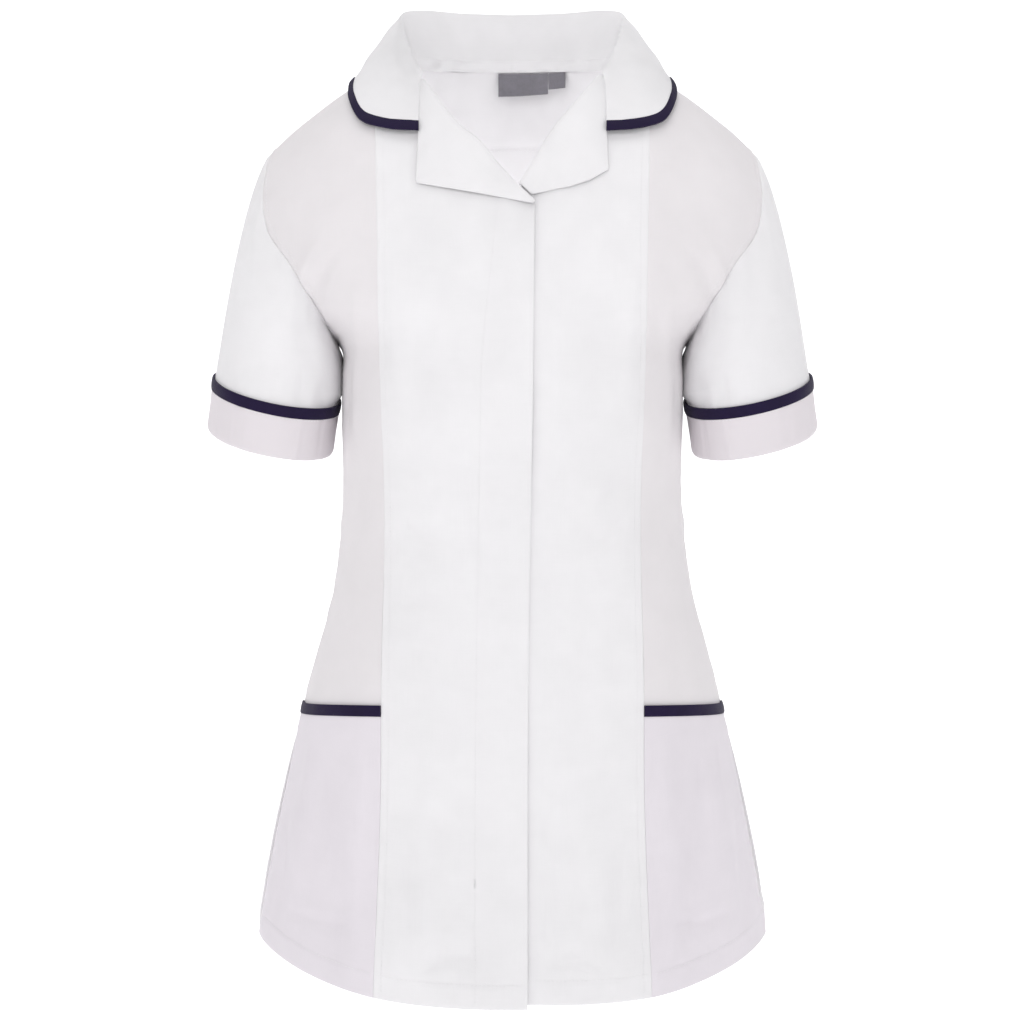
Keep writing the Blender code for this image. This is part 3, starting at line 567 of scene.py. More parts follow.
def back_grid():
    """Back below the yoke, full width: rows from the yoke seam to the hem."""
    shares = with_edges(BACK_COLUMNS, 0.40) * 2 - 1
    edge = armhole(np.linspace(yoke_share(), 1, UPPER_ROWS - 10))
    centre = np.linspace(YOKE_SEAM, UNDERARM + 0.02, len(edge))
    rows = []
    for (reach, low), middle in zip(edge, centre):
        z = middle + (low - middle) * shares**2
        x = spread(-reach, reach, max(curve(TORSO, low), reach), (shares + 1) / 2)
        rows.append(np.stack([x, depth(1, x, z), z], axis=-1))
    for level in lower_levels():
        half = curve(TORSO, level)
        x = spread(-half, half, half, (shares + 1) / 2)
        lift = 0.02 * (1 - shares**2) * np.clip((level - POCKET_TOP) / (UNDERARM - POCKET_TOP), 0, 1)
        z = level + lift + hem_drop(1, x, level)
        x = x * curve(TORSO, z) / half
        rows.append(np.stack([x, depth(1, x, z), z], axis=-1))
    grid = np.array(rows)
    grid[len(edge) - 1 :, [0, -1], 1] = 0
    return grid, len(edge)


def yoke_grid(back):
    """Yoke, full width: rows from the neck and shoulder seams to the yoke seam, columns as on the back."""
    bottom = back[0]
    tip = armhole(0.0)
    top_x = bottom[:, 0] / bottom[-1, 0] * tip[0]
    for side in (-1, 1):
        top_x[np.argmin(np.abs(top_x - side * NECK_HALF))] = side * NECK_HALF
    on_neck = np.abs(top_x) < NECK_HALF - 0.0005
    neck_z = NAPE_HEIGHT + (curve(RIDGE, NECK_HALF) - NAPE_HEIGHT) * (np.abs(top_x) / NECK_HALF) ** 2
    top_z = np.where(on_neck, neck_z, curve(RIDGE, np.abs(top_x)))
    shares = with_edges(14, 0.06)
    edge = armhole(shares * yoke_share())
    rows = []
    for k, share in enumerate(shares):
        x = top_x + (bottom[:, 0] - top_x) * share
        z = top_z + (bottom[:, 2] - top_z) * share
        x[[0, -1]] = [-edge[k, 0], edge[k, 0]]
        z[[0, -1]] = edge[k, 1]
        rows.append(np.stack([x, depth(1, x, z), z], axis=-1))
    grid = np.array(rows)
    grid[0, ~on_neck, 1] = 0
    grid[-1] = bottom
    return grid, on_neck


# Shells


def grid_facing(grid, ring=False):
    """Unit normals of a grid of points, by the slopes along its rows and columns."""
    down = np.gradient(grid, axis=0)
    if ring:
        across = np.roll(grid, -1, axis=1) - np.roll(grid, 1, axis=1)
    else:
        across = np.gradient(grid, axis=1)
    return unit(np.cross(down, across))


class Shell:
    """One piece of cloth: a grid of outer points with their facing, thickness and places along the cloth."""

    def __init__(self, points, facing, thickness=CLOTH, ring=False):
        self.points = np.array(points, dtype=float)
        self.facing = unit(np.array(facing, dtype=float))
        self.thickness = np.array(np.broadcast_to(thickness, self.points.shape[:2]), dtype=float)
        self.ring = ring
        across = np.linalg.norm(np.diff(self.points, axis=1), axis=-1)
        down = np.linalg.norm(np.diff(self.points, axis=0), axis=-1)
        self.across = np.pad(np.cumsum(across, axis=1), ((0, 0), (1, 0)))
        self.down = np.pad(np.cumsum(down, axis=0), ((1, 0), (0, 0)))

    def edge(self, name):
        """Cloth distance of every point from one of the four edges."""
        return {
            "first": self.across,
            "last": self.across[:, -1:] - self.across,
            "top": self.down,
            "bottom": self.down[-1:] - self.down,
        }[name]

    def lift(self, amount):
        self.points = self.points + self.facing * np.asarray(amount)[..., None]
        return self

    def round_edges(self, names, amount=0.00045, reach=EDGE_ROUND):
        """Rolls the outer face in at the named edges, as a turned seam does."""
        for name in names:
            drop = amount * np.clip(1 - self.edge(name) / reach, 0, 1) ** 2
            self.lift(-drop)
            self.thickness = np.maximum(self.thickness - drop, self.thickness * 0.3)
        return self

    def pucker(self, name, seed, amount, reach=0.012, lengths=(0.012, 0.032)):
        """Small uneven drawing in along one sewn edge, fading into the cloth."""
        along = self.down if name in ("first", "last") else self.across
        gone = self.edge(name)
        field = waves(seed, along + gone * 0.35, gone * 0.5, lengths, 10)
        return self.lift(amount * field * np.exp(-gone / reach) * smooth_step(gone / 0.003))

    def seam_ridge(self, name, seed, amount=0.0003, width=TOP_STITCH):
        """The turnings under one edge stand up as far as the row of stitches that holds them."""
        gone = self.edge(name)
        along = self.down if name in ("first", "last") else self.across
        uneven = 1 + 0.35 * waves(seed, along, 0, (0.02, 0.06), 6)
        ridge = smooth_step(gone / 0.0012) * (1 - smooth_step((gone - width + 0.0006) / 0.0012))
        return self.lift(amount * uneven * ridge - 0.6 * amount * bell(gone - width, 0.0008))

    def crease(self, u, v, table, strength=1.0):
        """Listed folds, each between two points, with a bend, a width and a height, minus for a trough."""
        total = np.zeros(np.broadcast(u, v).shape)
        for u0, v0, u1, v1, bend, width, height in table:
            du, dv = u1 - u0, v1 - v0
            length = np.hypot(du, dv)
            t = ((u - u0) * du + (v - v0) * dv) / length**2
            off = ((u - u0) * -dv + (v - v0) * du) / length - bend * 4 * t * (1 - t)
            ends = smooth_step((t + 0.12) / 0.42) * smooth_step((1.12 - t) / 0.42)
            total += height * bell(off, width * (0.55 + 0.6 * np.clip(t, 0, 1))) * ends
        return self.lift(total * strength)

    def line(self, name, gone, start=0.0, end=1.0, step=0.004, above=0.0):
        """Points and facings along one edge, at a cloth distance from it, between two shares of its length."""
        from_edge = self.edge(name)
        if name in ("top", "bottom"):
            from_edge = from_edge.T
            points, facing = np.swapaxes(self.points, 0, 1), np.swapaxes(self.facing, 0, 1)
        else:
            points, facing = self.points, self.facing
        found, turned = [], []
        for row in range(len(points)):
            order = np.argsort(from_edge[row])
            found.append([np.interp(gone, from_edge[row][order], points[row][order, k]) for k in range(3)])
            turned.append([np.interp(gone, from_edge[row][order], facing[row][order, k]) for k in range(3)])
        found, turned = np.array(found), np.array(turned)
        if self.ring and name in ("top", "bottom"):
            found, turned = np.concatenate([found, found[:1]]), np.concatenate([turned, turned[:1]])
        return cut_line(found + turned * above, turned, start, end, step)

    def mirrored(self, side):
        turn = np.array([side, 1, 1])
        return Shell(self.points * turn, self.facing * turn, self.thickness, self.ring)


def place_along(values, along, at):
    """The values of a line's points, read at one or more distances along it."""
    return np.array([np.interp(at, along, values[:, k]) for k in range(3)])


def cut_line(points, facing, start, end, step):
    """A stretch of a line, between two shares of its length, as evenly spaced points and facings."""
    along = np.concatenate([[0], np.cumsum(np.linalg.norm(np.diff(points, axis=0), axis=1))])
    at = np.linspace(start * along[-1], end * along[-1], max(int((end - start) * along[-1] / step), 2))
    points, facing = (place_along(values, along, at).T for values in (points, facing))
    return points, unit(facing)


def fill_mesh(name, points, faces, finish, uv=None, sharp=None):
    """A mesh object from arrays of points and quads, with places in metres of cloth as its UV map."""
    mesh = bpy.data.meshes.new(name)
    faces = np.asarray(faces, dtype=np.int32)
    mesh.vertices.add(len(points))
    mesh.vertices.foreach_set("co", np.ascontiguousarray(points, dtype=np.float32).ravel())
    mesh.loops.add(faces.size)
    mesh.loops.foreach_set("vertex_index", faces.ravel())
    mesh.polygons.add(len(faces))
    mesh.polygons.foreach_set("loop_start", np.arange(0, faces.size, faces.shape[1], dtype=np.int32))
    mesh.update(calc_edges=True)
    mesh.validate()
    if uv is not None:
        layer = mesh.uv_layers.new(name="cloth")
        layer.data.foreach_set("uv", np.ascontiguousarray(uv[faces.ravel()], dtype=np.float32).ravel())
    mesh.shade_smooth()
    if sharp:
        mesh.set_sharp_from_angle(angle=np.radians(sharp))
    mesh.materials.append(finish)
    piece = bpy.data.objects.new(name, mesh)
    bpy.context.scene.collection.objects.link(piece)
    return piece


def build_shell(name, shell, finish, nodes=(), sharp=55):
    """A closed wall between a shell's outer points and the same points moved in by its thickness."""
    outer = shell.points
    inner = outer - shell.facing * shell.thickness[..., None]
    rows, columns = outer.shape[:2]
    count = rows * columns
    spans = columns if shell.ring else columns - 1
    r, c = np.meshgrid(np.arange(rows - 1), np.arange(spans), indexing="ij")
    a = (r * columns + c).ravel()
    b = (r * columns + (c + 1) % columns).ravel()
    faces = [np.stack([a, b, b + columns, a + columns], axis=1)]
    faces.append(np.stack([a, a + columns, b + columns, b], axis=1) + count)
    c = np.arange(spans)
    a, b = c, (c + 1) % columns
    faces.append(np.stack([a, a + count, b + count, b], axis=1))
    a, b = a + (rows - 1) * columns, b + (rows - 1) * columns
    faces.append(np.stack([a, b, b + count, a + count], axis=1))
    if not shell.ring:
        a = np.arange(rows - 1) * columns
        faces.append(np.stack([a, a + columns, a + columns + count, a + count], axis=1))
        a = a + columns - 1
        faces.append(np.stack([a, a + count, a + columns + count, a + columns], axis=1))
    faces = np.concatenate(faces)
    points = np.concatenate([outer.reshape(-1, 3), inner.reshape(-1, 3)])
    corners = points[faces]
    volume = np.einsum("ij,ij->i", corners[:, 0], np.cross(corners[:, 1], corners[:, 2])).sum()
    if volume < 0:
        faces = faces[:, ::-1]
    uv = np.stack([shell.across, shell.edge("bottom")], axis=-1).reshape(-1, 2)
    piece = fill_mesh(name, points, faces, finish, np.concatenate([uv, uv]), sharp=sharp)
    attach(piece, "root")
    if nodes:
        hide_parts(*nodes)
    return piece


def sew(name, lines, finish, pitch=None, width=STITCH_WIDTH, fill=0.72):
    """Raised stitches along each line of points and facings, as one mesh of small rounded threads."""
    pitch = pitch or bpy.context.scene.tunic_cloth.stitch_length
    places, faces = [], []
    angles = np.arange(STITCH_SIDES) * 2 * np.pi / STITCH_SIDES
    base = 0
    for points, facing in lines:
        along = np.concatenate([[0], np.cumsum(np.linalg.norm(np.diff(points, axis=0), axis=1))])
        for at in np.arange(pitch / 2, along[-1] - pitch / 2, pitch):
            middle, out = place_along(points, along, at), unit(place_along(facing, along, at))
            ahead = place_along(points, along, at + pitch / 2) - place_along(points, along, at - pitch / 2)
            ahead = unit(ahead)
            side = unit(np.cross(ahead, out))
            for shift, size, rise in STITCH_PROFILE:
                centre = middle + ahead * shift * pitch * fill + out * rise * width
                ring = [centre + (side * np.cos(g) + out * np.sin(g) * 0.75) * size * width / 2 for g in angles]
                places.extend(ring)
            for k in range(len(STITCH_PROFILE) - 1):
                for s in range(STITCH_SIDES):
                    t = (s + 1) % STITCH_SIDES
                    low = base + k * STITCH_SIDES
                    faces.append((low + s, low + t, low + STITCH_SIDES + t, low + STITCH_SIDES + s))
            for k in (0, len(STITCH_PROFILE) - 1):
                low = base + k * STITCH_SIDES
                faces.append((low, low + 1, low + 2, low + 3))
            base += len(STITCH_PROFILE) * STITCH_SIDES
    piece = fill_mesh(name, np.array(places), faces, finish)
    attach(piece, "root")
    return piece


# Finishes


def group_socket(tree, name, way, kind, default=None):
    socket = tree.interface.new_socket(name=name, in_out=way, socket_type=kind)
    if default is not None:
        socket.default_value = default
    return socket


def weave_group():
    """Plain weave: threads over and under each other, as a height, with slubs that vary their shade."""
    if "Plain weave" in bpy.data.node_groups:
        return bpy.data.node_groups["Plain weave"]
    tree = bpy.data.node_groups.new("Plain weave", "ShaderNodeTree")
    group_socket(tree, "Cloth", "INPUT", "NodeSocketVector")
    group_socket(tree, "Thread", "INPUT", "NodeSocketFloat", 0.0005)
    group_socket(tree, "Height", "OUTPUT", "NodeSocketFloat")
    group_socket(tree, "Slub", "OUTPUT", "NodeSocketFloat")
    nodes, links = tree.nodes, tree.links
    given, made = nodes.new("NodeGroupInput"), nodes.new("NodeGroupOutput")
    scaled = nodes.new("ShaderNodeVectorMath")
    scaled.operation = "DIVIDE"
    links.new(given.outputs["Cloth"], scaled.inputs[0])
    links.new(given.outputs["Thread"], scaled.inputs[1])
    split = nodes.new("ShaderNodeSeparateXYZ")
    links.new(scaled.outputs[0], split.inputs[0])
    waves_made = []
    for axis in ("X", "Y"):
        turn = maths(tree, "MULTIPLY", split.outputs[axis], np.pi)
        waves_made.append(maths(tree, "SINE", turn))
    cross = maths(tree, "MULTIPLY", waves_made[0], waves_made[1])
    links.new(cross, made.inputs["Height"])
    streaks = []
    for stretch in ((1.0, 0.02, 1.0), (0.02, 1.0, 1.0)):
        drawn = nodes.new("ShaderNodeVectorMath")
        drawn.operation = "MULTIPLY"
        drawn.inputs[1].default_value = stretch
        links.new(scaled.outputs[0], drawn.inputs[0])
        noise = nodes.new("ShaderNodeTexNoise")
        noise.inputs["Scale"].default_value = 0.9
        noise.inputs["Detail"].default_value = 2.0
        links.new(drawn.outputs[0], noise.inputs["Vector"])
        streaks.append(noise.outputs["Fac"])
    both = maths(tree, "ADD", streaks[0], streaks[1])
    links.new(maths(tree, "MULTIPLY", both, 0.5), made.inputs["Slub"])
    return tree


def mottle_group():
    """Soft uneven tone of pressed cloth, in two sizes."""
    if "Pressed mottle" in bpy.data.node_groups:
        return bpy.data.node_groups["Pressed mottle"]
    tree = bpy.data.node_groups.new("Pressed mottle", "ShaderNodeTree")
    group_socket(tree, "Place", "INPUT", "NodeSocketVector")
    group_socket(tree, "Size", "INPUT", "NodeSocketFloat", 0.05)
    group_socket(tree, "Tone", "OUTPUT", "NodeSocketFloat")
    nodes, links = tree.nodes, tree.links
    given, made = nodes.new("NodeGroupInput"), nodes.new("NodeGroupOutput")
    scaled = nodes.new("ShaderNodeVectorMath")
    scaled.operation = "DIVIDE"
    links.new(given.outputs["Place"], scaled.inputs[0])
    links.new(given.outputs["Size"], scaled.inputs[1])
    parts = []
    for scale, detail in ((1.0, 3.0), (4.2, 4.0)):
        noise = nodes.new("ShaderNodeTexNoise")
        noise.inputs["Scale"].default_value = scale
        noise.inputs["Detail"].default_value = detail
        links.new(scaled.outputs[0], noise.inputs["Vector"])
        parts.append(noise.outputs["Fac"])
    small = maths(tree, "MULTIPLY", parts[1], 0.35)
    large = maths(tree, "MULTIPLY", parts[0], 0.65)
    links.new(maths(tree, "ADD", small, large), made.inputs["Tone"])
    return tree


def maths(tree, operation, first, second=None):
    """One Math node, its inputs linked from sockets or set to numbers."""
    node = tree.nodes.new("ShaderNodeMath")
    node.operation = operation
    for socket, value in zip(node.inputs, (first, second)):
        if value is None:
            continue
        if isinstance(value, (int, float)):
            socket.default_value = value
        else:
            tree.links.new(value, socket)
    return node.outputs[0]


def place_group(tree, group, **inputs):
    node = tree.nodes.new("ShaderNodeGroup")
    node.node_tree = group
    for name, value in inputs.items():
        if isinstance(value, (int, float)):
            node.inputs[name].default_value = value
        else:
            tree.links.new(value, node.inputs[name])
    return node


def cloth_finish(name, colour, shade, roughness=0.82, thread=0.0005, bump=0.00005, sheen=0.12, mottle=0.08):
    """Woven cloth: its colour drifts to a shade, with slubs, a plain weave in relief and a soft sheen."""
    made = bpy.data.materials.new(name)
    made.use_nodes = True
    tree = made.node_tree
    nodes, links = tree.nodes, tree.links
    shader = nodes["Principled BSDF"]
    shader.inputs["Roughness"].default_value = roughness
    shader.inputs["Specular IOR Level"].default_value = 0.22
    shader.inputs["Sheen Weight"].default_value = sheen
    shader.inputs["Sheen Roughness"].default_value = 0.45
    uv = nodes.new("ShaderNodeUVMap")
    uv.uv_map = "cloth"
    place = nodes.new("ShaderNodeTexCoord")
    weave = place_group(tree, weave_group(), Cloth=uv.outputs["UV"], Thread=thread)
    tone = place_group(tree, mottle_group(), Place=place.outputs["Object"], Size=mottle)
    blend = maths(tree, "MULTIPLY", tone.outputs["Tone"], 0.9)
    blend = maths(tree, "ADD", blend, maths(tree, "MULTIPLY", weave.outputs["Slub"], 0.3))
    span = nodes.new("ShaderNodeMapRange")
    span.inputs["From Min"].default_value = 0.44
    span.inputs["From Max"].default_value = 0.80
    links.new(blend, span.inputs["Value"])
    mix = nodes.new("ShaderNodeMix")
    mix.data_type = "RGBA"
    mix.inputs["A"].default_value = (*colour, 1)
    mix.inputs["B"].default_value = (*shade, 1)
    links.new(span.outputs["Result"], mix.inputs["Factor"])
    links.new(mix.outputs["Result"], shader.inputs["Base Color"])
    relief = nodes.new("ShaderNodeBump")
    relief.inputs["Strength"].default_value = 1.0
    relief.inputs["Distance"].default_value = bump
    links.new(weave.outputs["Height"], relief.inputs["Height"])
    links.new(relief.outputs["Normal"], shader.inputs["Normal"])
    return made


def thread_finish(name, colour):
    """Sewing thread: a fine twist along its length, a little glossier than the cloth."""
    made = bpy.data.materials.new(name)
    made.use_nodes = True
    tree = made.node_tree
    shader = tree.nodes["Principled BSDF"]
    shader.inputs["Roughness"].default_value = 0.55
    shader.inputs["Sheen Weight"].default_value = 0.2
    place = tree.nodes.new("ShaderNodeTexCoord")
    tone = place_group(tree, mottle_group(), Place=place.outputs["Object"], Size=0.004)
    ramp = tree.nodes.new("ShaderNodeMix")
    ramp.data_type = "RGBA"
    ramp.inputs["A"].default_value = (*colour, 1)
    ramp.inputs["B"].default_value = (*darker(colour, 0.9), 1)
    tree.links.new(tone.outputs["Tone"], ramp.inputs["Factor"])
    tree.links.new(ramp.outputs["Result"], shader.inputs["Base Color"])
    return made


def darker(colour, share):
    return tuple(value * share for value in colour)


def finishes():
    """Every finish by name, made once."""
    cloth = bpy.context.scene.tunic_cloth
    if "White poplin" not in bpy.data.materials:
        white, navy, grey = (tuple(c) for c in (cloth.white, cloth.navy, cloth.grey))
        # Painted shade: the side fronts' white is darkened and warmed where their cloth turns away from the light
        side_shade = tuple(np.array(white) * (0.940, 0.918, 0.920))
        # Painted shade: the pockets' white is darkened and tinted lilac, like the shaded side fronts they lie on
        pocket_shade = tuple(np.array(white) * (0.935, 0.90, 0.935))
        # Painted shade: the cuffs' white is darkened and tinted pink
        cuff_shade = tuple(np.array(white) * (0.90, 0.86, 0.88))
        cloth_finish("White poplin", white, darker(white, 0.935))
        cloth_finish("Shaded side poplin", side_shade, darker(side_shade, 0.945))
        cloth_finish("Shaded pocket poplin", pocket_shade, darker(pocket_shade, 0.94))
        cloth_finish("Shaded cuff poplin", cuff_shade, darker(cuff_shade, 0.97))
        cloth_finish("Navy binding", navy, darker(navy, 0.72), 0.7, 0.0006, 0.00008, 0.06, 0.02)
        cloth_finish("Grey label", grey, darker(grey, 0.8), 0.5, 0.0004, 0.00004, 0.3, 0.006)
        thread_finish("White thread", white)
        thread_finish("Navy thread", navy)
    return bpy.data.materials


# Pieces of the body


def armhole_frame(front, back_edge):
    """Armhole loop, its facing and its outward way, from the tip down the front and up the back."""
    loop = np.concatenate([front, back_edge[::-1][1:-1]])
    along = np.roll(loop, -1, axis=0) - np.roll(loop, 1, axis=0)
    middle = loop.mean(axis=0)
    tip_way = np.array([0.75, 0.0, -0.66])
    under_way = np.array([1.0, 0.0, 0.0])
    share = smooth_step((loop[0, 2] - loop[:, 2]) / (loop[0, 2] - UNDERARM))
    away = unit(tip_way + (under_way - tip_way) * share[:, None])
    facing = unit(np.cross(along, away))
    facing = facing * np.sign(np.sum(facing * (loop - middle), axis=1, keepdims=True).sum())
    for end in (0, UPPER_ROWS):
        facing[end, 1] = 0
    return loop, unit(facing), away


class Body:
    """The torso's grids and the armhole that the sleeves start from, worked out once."""

    def __init__(self):
        self.side = side_front_grid()
        self.back, self.upper_back = back_grid()
        self.yoke, self.on_neck = yoke_grid(self.back)
        edge = np.concatenate([self.yoke[:, -1], self.back[1 : self.upper_back, -1]])
        self.loop, self.facing, self.away = armhole_frame(self.side[: UPPER_ROWS + 1, -1], edge)


def side_front_shell(body):
    """Side front with its armhole, shoulder, side and vent edges drawn in by half a shown seam."""
    grid = body.side
    facing = outward(-1, grid)
    facing[0] = ridge_facing(grid[0, :, 0])
    facing[UPPER_ROWS:, -1, 1] = 0
    facing[: UPPER_ROWS + 1, -1] = body.facing[: UPPER_ROWS + 1]
    facing = soften_edge(unit(facing), UPPER_ROWS + 1)
    points = grid.copy()
    points[:, 0, 0] += SHOWN_SEAM / 2
    points[0, :, 1] -= SHOWN_SEAM / 2
    points[UPPER_ROWS:, -1, 1] -= SHOWN_SEAM / 2
    points[: UPPER_ROWS + 1, -1] -= body.away[: UPPER_ROWS + 1] * SHOWN_SEAM
    points = open_vent(points, -1)
    under = POCKET_SINK * smooth_step((POCKET_TOP + 0.012 - all_levels()) / 0.012)
    shell = Shell(points - facing * under[:, None, None], facing)
    return shell.lift(side_fullness(shell, "last"))


def side_fullness(shell, edge):
    """The side seam stands a little fuller just below the underarm."""
    return SIDE_FULL * bell(shell.points[..., 2] + 0.276, 0.026) * bell(shell.edge(edge), 0.03)


def soften_edge(facing, rows):
    """Turns the facing of the last few columns gently into the armhole's own."""
    made = facing.copy()
    for column, share in ((-2, 0.8), (-3, 0.6), (-4, 0.4), (-5, 0.2)):
        made[:rows, column] += (facing[:rows, -1] - facing[:rows, column]) * share
    return unit(made)


def open_vent(points, face):
    """Parts the side edges below the vent's top: the front's edge turns in and the back's flares past it."""
    points = points.copy()
    edges = (-1,) if face < 0 else (0, -1)
    for edge in edges:
        z = points[:, edge, 2]
        share = np.clip((VENT_TOP - z) / (VENT_TOP - SIDE_HEM), 0, 1)
        side = np.sign(points[:, edge, 0])
        near = np.linalg.norm(points - points[:, edge : (edge + 1) or None], axis=-1)
        fall = np.exp(-((near / 0.018) ** 2))
        if face < 0:
            points[..., 1] -= (VENT_SPREAD * share)[:, None] * fall
            points[..., 0] -= (side * VENT_INSET * np.sqrt(share))[:, None] * fall
        else:
            points[..., 1] -= (SEAM * share)[:, None] * fall
            points[..., 0] += (side * VENT_FLARE * 4 * share * (1 - share))[:, None] * fall
    return points


# Creases: place across the panel and height of one end, the same of the other end, then bend, width and height
SIDE_CREASES = [
    (0.030, -0.160, 0.085, -0.235, 0.004, 0.008, -0.0022),
    (0.048, -0.150, 0.092, -0.225, 0.003, 0.006, 0.0016),
    (0.020, -0.195, 0.050, -0.330, -0.004, 0.010, 0.0012),
    (0.045, -0.235, 0.040, -0.360, 0.003, 0.009, -0.0014),
    (0.062, -0.255, 0.060, -0.400, -0.002, 0.010, 0.0013),
    (0.015, -0.370, 0.055, -0.410, 0.004, 0.009, -0.0010),
    (0.020, -0.430, 0.070, -0.470, 0.003, 0.010, 0.0009),
    (0.030, -0.480, 0.040, -0.520, 0.002, 0.008, -0.0006),
]
FRONT_CREASES = [
    (0.010, -0.180, 0.016, -0.320, 0.004, 0.012, 0.0024),
    (0.022, -0.340, 0.050, -0.372, 0.004, 0.010, 0.0027),
    (0.016, -0.372, 0.042, -0.398, -0.003, 0.008, -0.0024),
    (0.030, -0.405, 0.062, -0.430, 0.003, 0.011, 0.0021),
    (0.014, -0.440, 0.050, -0.452, 0.002, 0.009, -0.0021),
    (0.026, -0.478, 0.058, -0.520, 0.004, 0.012, 0.0024),
    (0.060, -0.330, 0.080, -0.470, 0.003, 0.009, -0.0016),
    (0.036, -0.560, 0.030, -0.735, 0.003, 0.014, 0.0029),
    (0.062, -0.600, 0.066, -0.745, -0.003, 0.011, -0.0021),
    (0.012, -0.640, 0.014, -0.745, 0.002, 0.009, 0.0019),
    (0.014, -0.560, 0.040, -0.590, 0.004, 0.010, -0.0023),
    (0.030, -0.585, 0.060, -0.628, -0.004, 0.012, -0.0021),
    (0.050, -0.640, 0.070, -0.668, 0.004, 0.010, 0.0019),
    (0.020, -0.640, 0.024, -0.705, 0.002, 0.010, -0.0027),
    (0.040, -0.722, 0.082, -0.716, 0.006, 0.007, -0.0032),
    (0.046, -0.698, 0.080, -0.692, 0.005, 0.009, 0.0016),
]
HEM_CREASES = [
    (0.020, -0.640, 0.016, -0.735, 0.002, 0.008, 0.0016),
    (0.045, -0.600, 0.040, -0.725, -0.003, 0.010, -0.0016),
    (0.078, -0.585, 0.074, -0.712, 0.003, 0.009, 0.0021),
    (0.098, -0.600, 0.096, -0.700, -0.002, 0.008, -0.0017),
]
BACK_CREASES = [
    (0.060, -0.150, 0.150, -0.225, 0.006, 0.012, 0.0018),
    (0.090, -0.190, 0.160, -0.260, 0.004, 0.010, -0.0016),
    (0.110, -0.330, 0.180, -0.360, 0.005, 0.010, -0.0014),
    (0.120, -0.372, 0.200, -0.385, 0.004, 0.009, 0.0014),
    (0.080, -0.410, 0.170, -0.430, 0.005, 0.012, -0.0012),
    (0.150, -0.450, 0.130, -0.720, 0.010, 0.018, 0.0022),
    (0.190, -0.480, 0.185, -0.715, -0.006, 0.016, -0.0016),
    (0.060, -0.500, 0.050, -0.725, 0.006, 0.018, -0.0014),
]


def drape(shell, seed, amount, lengths=(0.05, 0.16), stretch=1.6, keep=()):
    """The cloth's own slight unevenness, none of it at the named edges."""
    field = waves(seed, shell.across, shell.points[..., 2], lengths, 16, stretch)
    for name in keep:
        field = field * smooth_step(shell.edge(name) / 0.02)
    return shell.lift(amount * field)


def hem_fold(shell, seed):
    """Turned and stitched hem: a raised band, sunk along its stitching line, with small puckers at its upper edge.
    """
    gone = shell.edge("bottom")
    band = 1 - smooth_step((gone - HEM_FOLD + 0.0005) / 0.0012)
    ripple = waves(seed, shell.across, gone * 0.25, (0.009, 0.028), 12)
    around = bell(gone - HEM_FOLD, 0.008) + 0.7 * bell(gone - HEM_FOLD * 0.5, 0.008)
    return shell.lift(0.0003 * band + 0.00048 * ripple * around - 0.0003 * bell(gone - HEM_FOLD, 0.0010))


def build_body():
    made = finishes()
    body = Body()
    stitches = []
    strength = bpy.context.scene.tunic_cloth.crease_strength

    for side in (-1, 1):
        name = "left" if side > 0 else "right"
        shell = side_front_shell(body)
        height = shell.points[..., 2]
        drape(shell, 11 + side, 0.0005, keep=("first", "last", "top"))
        shell.crease(shell.across, height, SIDE_CREASES, strength * (1.0 if side < 0 else 0.85))
        shell.crease(shell.across, height, HEM_CREASES, strength)
        shell.pucker("first", 21 + side, 0.00035).pucker("last", 31 + side, 0.0004)
        hem_fold(shell, 41 + side)
        armhole_turn(shell, body)
        build_pocket(body, shell, side, made, stitches)
        shell.round_edges(("first",), 0.00008, 0.0007).round_edges(("top", "last", "bottom"))
        shell = shell.mirrored(side)
        node = f"side_front_{name}"
        # The side fronts' finish carries painted shade in its colour
        piece = build_shell(f"shell_{node}", shell, made["Shaded side poplin"], [node])
        stitches.append(shell.line("last", TOP_STITCH, 0.02, 0.245, above=THREAD_RISE))

    fronts = ((-1, RIGHT_COLUMNS, RIGHT_ROLL, right_closing), (1, LEFT_COLUMNS, LEFT_ROLL, left_closing))
    for side, table, roll, closing in fronts:
        name = "left" if side > 0 else "right"
        shell = front_shell(side, table, roll, closing)
        height = shell.points[..., 2]
        drape(shell, 51 + side, 0.0005, keep=("first",))
        shell.crease(shell.across, height, FRONT_CREASES, strength * (1.0 if side < 0 else 0.9))
        shell.pucker("first", 61 + side, 0.0003).seam_ridge("first", 71 + side, 0.00028)
        hem_fold(shell, 81 + side)
        shell.round_edges(("first",), 0.00008, 0.0007).round_edges(("last", "bottom"), 0.0006, 0.0018)
        shell = shell.mirrored(side)
        piece = build_shell(f"shell_front_{name}", shell, made["White poplin"], [f"front_{name}"])
        stitches.append(shell.line("first", TOP_STITCH, 0.06, 0.995, above=THREAD_RISE))
        stitches.append(shell.line("bottom", HEM_FOLD, 0.02, 0.97, above=THREAD_RISE))
        if side < 0:
            stitches.append(shell.line("last", FLY_WIDTH, 0.01, 0.995, above=THREAD_RISE))
            points, facing = shell.line("last", FLY_WIDTH, step=0.001, above=THREAD_RISE)
            bar = np.abs(points[:, 2] - FLY_BAR) < 0.0045
            bars = [(points[bar] + (0.0006 * k, 0, 0), facing[bar]) for k in (-1, 0, 1)]
            sew("fly_bar", bars, made["White thread"], 0.0011, 0.0006)

    build_back(body, made, stitches, strength)
    sew("topstitching_body", stitches, made["White thread"])


